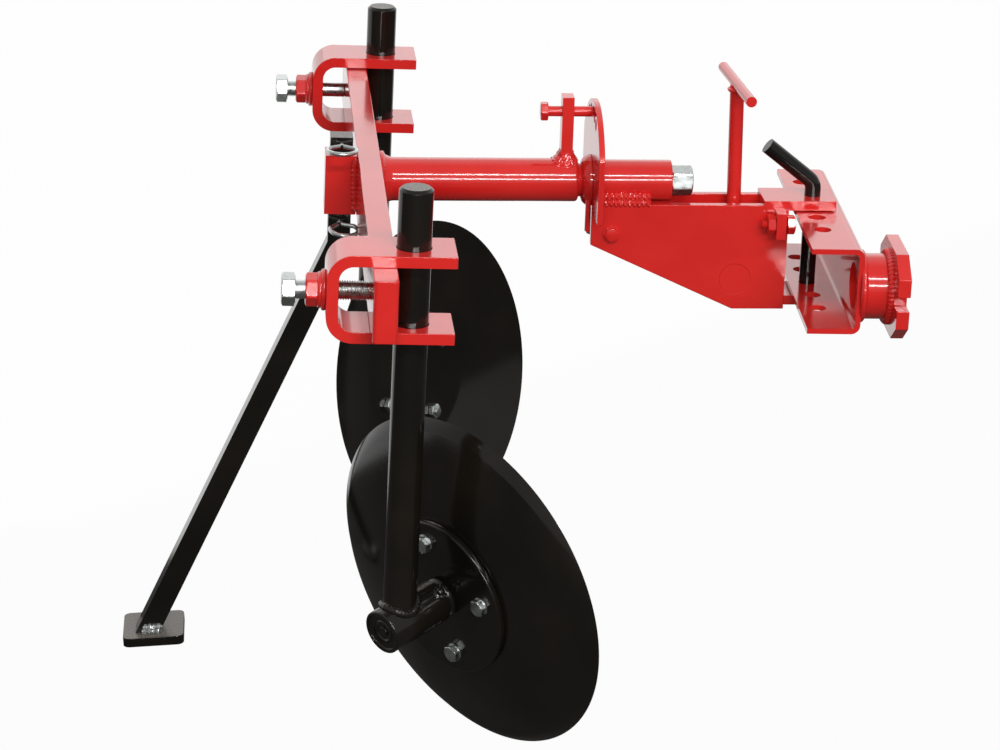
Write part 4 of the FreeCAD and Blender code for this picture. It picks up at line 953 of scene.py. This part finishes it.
class RIDGER_OT_stage(bpy.types.Operator):
    """Pale floor, soft studio light and the camera"""

    bl_idname = "ridger.stage"
    bl_label = "Stage"

    def execute(self, context):
        scene = context.scene
        self.floor()
        self.sky(scene)
        for name, place, wide, high, radiance in (
                ("Rear softbox", (-0.3, 4.6, 2.5), 6.0, 2.6, 0.5),
                ("Front strip", (0.6, -4.6, 1.95), 3.0, 0.14, 70.0),
                ("Upper strip", (0.75, -3.2, 3.25), 2.7, 0.15, 60.0)):
            self.softbox(name, place, wide, high, radiance)
        lens = bpy.data.cameras.new("Camera")
        lens.sensor_width = 36
        lens.lens = 114.157
        camera = bpy.data.objects.new("Camera", lens)
        camera.location = (-0.22231, -3.37572, 1.56717)
        camera.rotation_euler = Euler([math.radians(a) for a in (69.4463, 1.8392, -4.5485)])
        scene.collection.objects.link(camera)
        scene.camera = camera
        scene.view_settings.view_transform = "Standard"
        return {"FINISHED"}

    @staticmethod
    def floor():
        """Matt floor, all seen nearly white: grey in front, white behind a slanting line.

        It turns white where the lesser of y - 0.7 x and 2 y is over 0.7 m, with a soft edge.
        """
        material, tree = new_material("Matt studio floor, grey in front and white behind")
        where = add(tree, "SeparateXYZ", {"Vector": add(tree, "TexCoord").outputs["Object"]})
        slanted = add(tree, "Math", {0: where.outputs["X"], 1: -0.7, 2: where.outputs["Y"]},
                      operation="MULTIPLY_ADD")
        ahead = add(tree, "Math", {0: where.outputs["Y"], 1: 2.0}, operation="MULTIPLY")
        lesser = add(tree, "Math", {0: slanted.outputs[0], 1: ahead.outputs[0]},
                     operation="MINIMUM")
        behind = add(tree, "MapRange", {"Value": lesser.outputs[0], "From Min": 0.6,
                                        "From Max": 0.8}, interpolation_type="SMOOTHSTEP")
        tone = add(tree, "Mix", {"Factor": behind.outputs["Result"], "A": linear("#5E5D5B"),
                                 "B": linear("#F4F3F0")}, data_type="RGBA")
        matt = add(tree, "BsdfDiffuse", {"Color": tone.outputs["Result"]})
        white = add(tree, "Emission", {"Color": linear("#FFFFFF"), "Strength": 1.0})
        share = white_where_seen(tree, 0.97, behind.outputs["Result"])
        mixed = add(tree, "MixShader", {0: share, 1: matt.outputs[0], 2: white.outputs[0]})
        add(tree, "OutputMaterial", {"Surface": mixed.outputs[0]})
        mesh = bpy.data.meshes.new("studio_floor")
        mesh.from_pydata([(-8, -8, 0), (8, -8, 0), (8, 8, 0), (-8, 8, 0)], [], [(0, 1, 2, 3)])
        mesh.materials.append(material)
        floor = bpy.data.objects.new("studio_floor", mesh)
        bpy.context.scene.collection.objects.link(floor)

    @staticmethod
    def sky(scene):
        """Even grey fill, seen as white, with the room darker towards the front."""
        world = bpy.data.worlds.new("Studio")
        world.use_nodes = True
        tree = world.node_tree
        tree.nodes.clear()
        way = add(tree, "SeparateXYZ", {"Vector": add(tree, "TexCoord").outputs["Generated"]})
        rear = add(tree, "MapRange", {"Value": way.outputs["Y"], "From Min": 0.0,
                                      "From Max": 0.5, "To Min": 0.0})
        share = white_where_seen(tree, 1.0, rear.outputs["Result"])
        fill = add(tree, "Background", {"Color": linear("#FFFFFF"), "Strength": 0.42})
        white = add(tree, "Background", {"Color": linear("#FFFFFF"), "Strength": 1.0})
        mixed = add(tree, "MixShader", {0: share, 1: fill.outputs[0], 2: white.outputs[0]})
        add(tree, "OutputWorld", {"Surface": mixed.outputs[0]})
        scene.world = world

    @staticmethod
    def softbox(name, place, wide, high, radiance):
        """Rectangular lamp aimed at the ridger's middle; its watts are pi x area x radiance."""
        lamp = bpy.data.lights.new(name, "AREA")
        lamp.shape, lamp.size, lamp.size_y = "RECTANGLE", wide, high
        lamp.energy = math.pi * wide * high * radiance
        box = bpy.data.objects.new(name, lamp)
        matrix = basis(place, (1, 0, 0), np.array(place) - (0, 0, 0.4))
        box.location = place
        box.rotation_euler = Euler(euler_of(matrix[:3, :3]))
        box.visible_camera = False
        bpy.context.scene.collection.objects.link(box)


def euler_of(turn):
    """X, Y, Z angles of a rotation: y = -asin R31, x = atan2(R32, R33), z = atan2(R21, R11)."""
    return (math.atan2(turn[2, 1], turn[2, 2]), -math.asin(turn[2, 0]),
            math.atan2(turn[1, 0], turn[0, 0]))


class RIDGER_PT_panel(bpy.types.Panel):
    """Settings and steps of the ridger's dressing"""

    bl_idname = "RIDGER_PT_panel"
    bl_label = "Disc Ridger"
    bl_space_type = "VIEW_3D"
    bl_region_type = "UI"
    bl_category = "Ridger"

    def draw(self, context):
        for name in GROUPS:
            settings = getattr(context.scene, name)
            for key in settings.__annotations__:
                self.layout.prop(settings, key)
        for step in STEPS:
            self.layout.operator(step.bl_idname)


GROUPS = {"ridger_colours": RIDGER_PG_colours, "ridger_fasteners": RIDGER_PG_fasteners,
          "ridger_welds": RIDGER_PG_welds, "ridger_edges": RIDGER_PG_edges}
STEPS = (RIDGER_OT_finishes, RIDGER_OT_plates_and_bars, RIDGER_OT_clamp_screws, RIDGER_OT_discs,
         RIDGER_OT_hubs, RIDGER_OT_boom, RIDGER_OT_head_bolts, RIDGER_OT_lynch_pins,
         RIDGER_OT_welds, RIDGER_OT_stage)


def register():
    for cls in (*GROUPS.values(), *STEPS, RIDGER_PT_panel):
        bpy.utils.register_class(cls)
    for name, group in GROUPS.items():
        setattr(bpy.types.Scene, name, bpy.props.PointerProperty(type=group))


def unregister():
    for name in GROUPS:
        delattr(bpy.types.Scene, name)
    for cls in (RIDGER_PT_panel, *reversed(STEPS), *reversed(GROUPS.values())):
        bpy.utils.unregister_class(cls)


def main():
    """Register the settings and steps, then make every piece in order."""
    register()
    for step in STEPS:
        area, name = step.bl_idname.split(".")
        getattr(getattr(bpy.ops, area), name)()


if __name__ == "__main__":
    main()
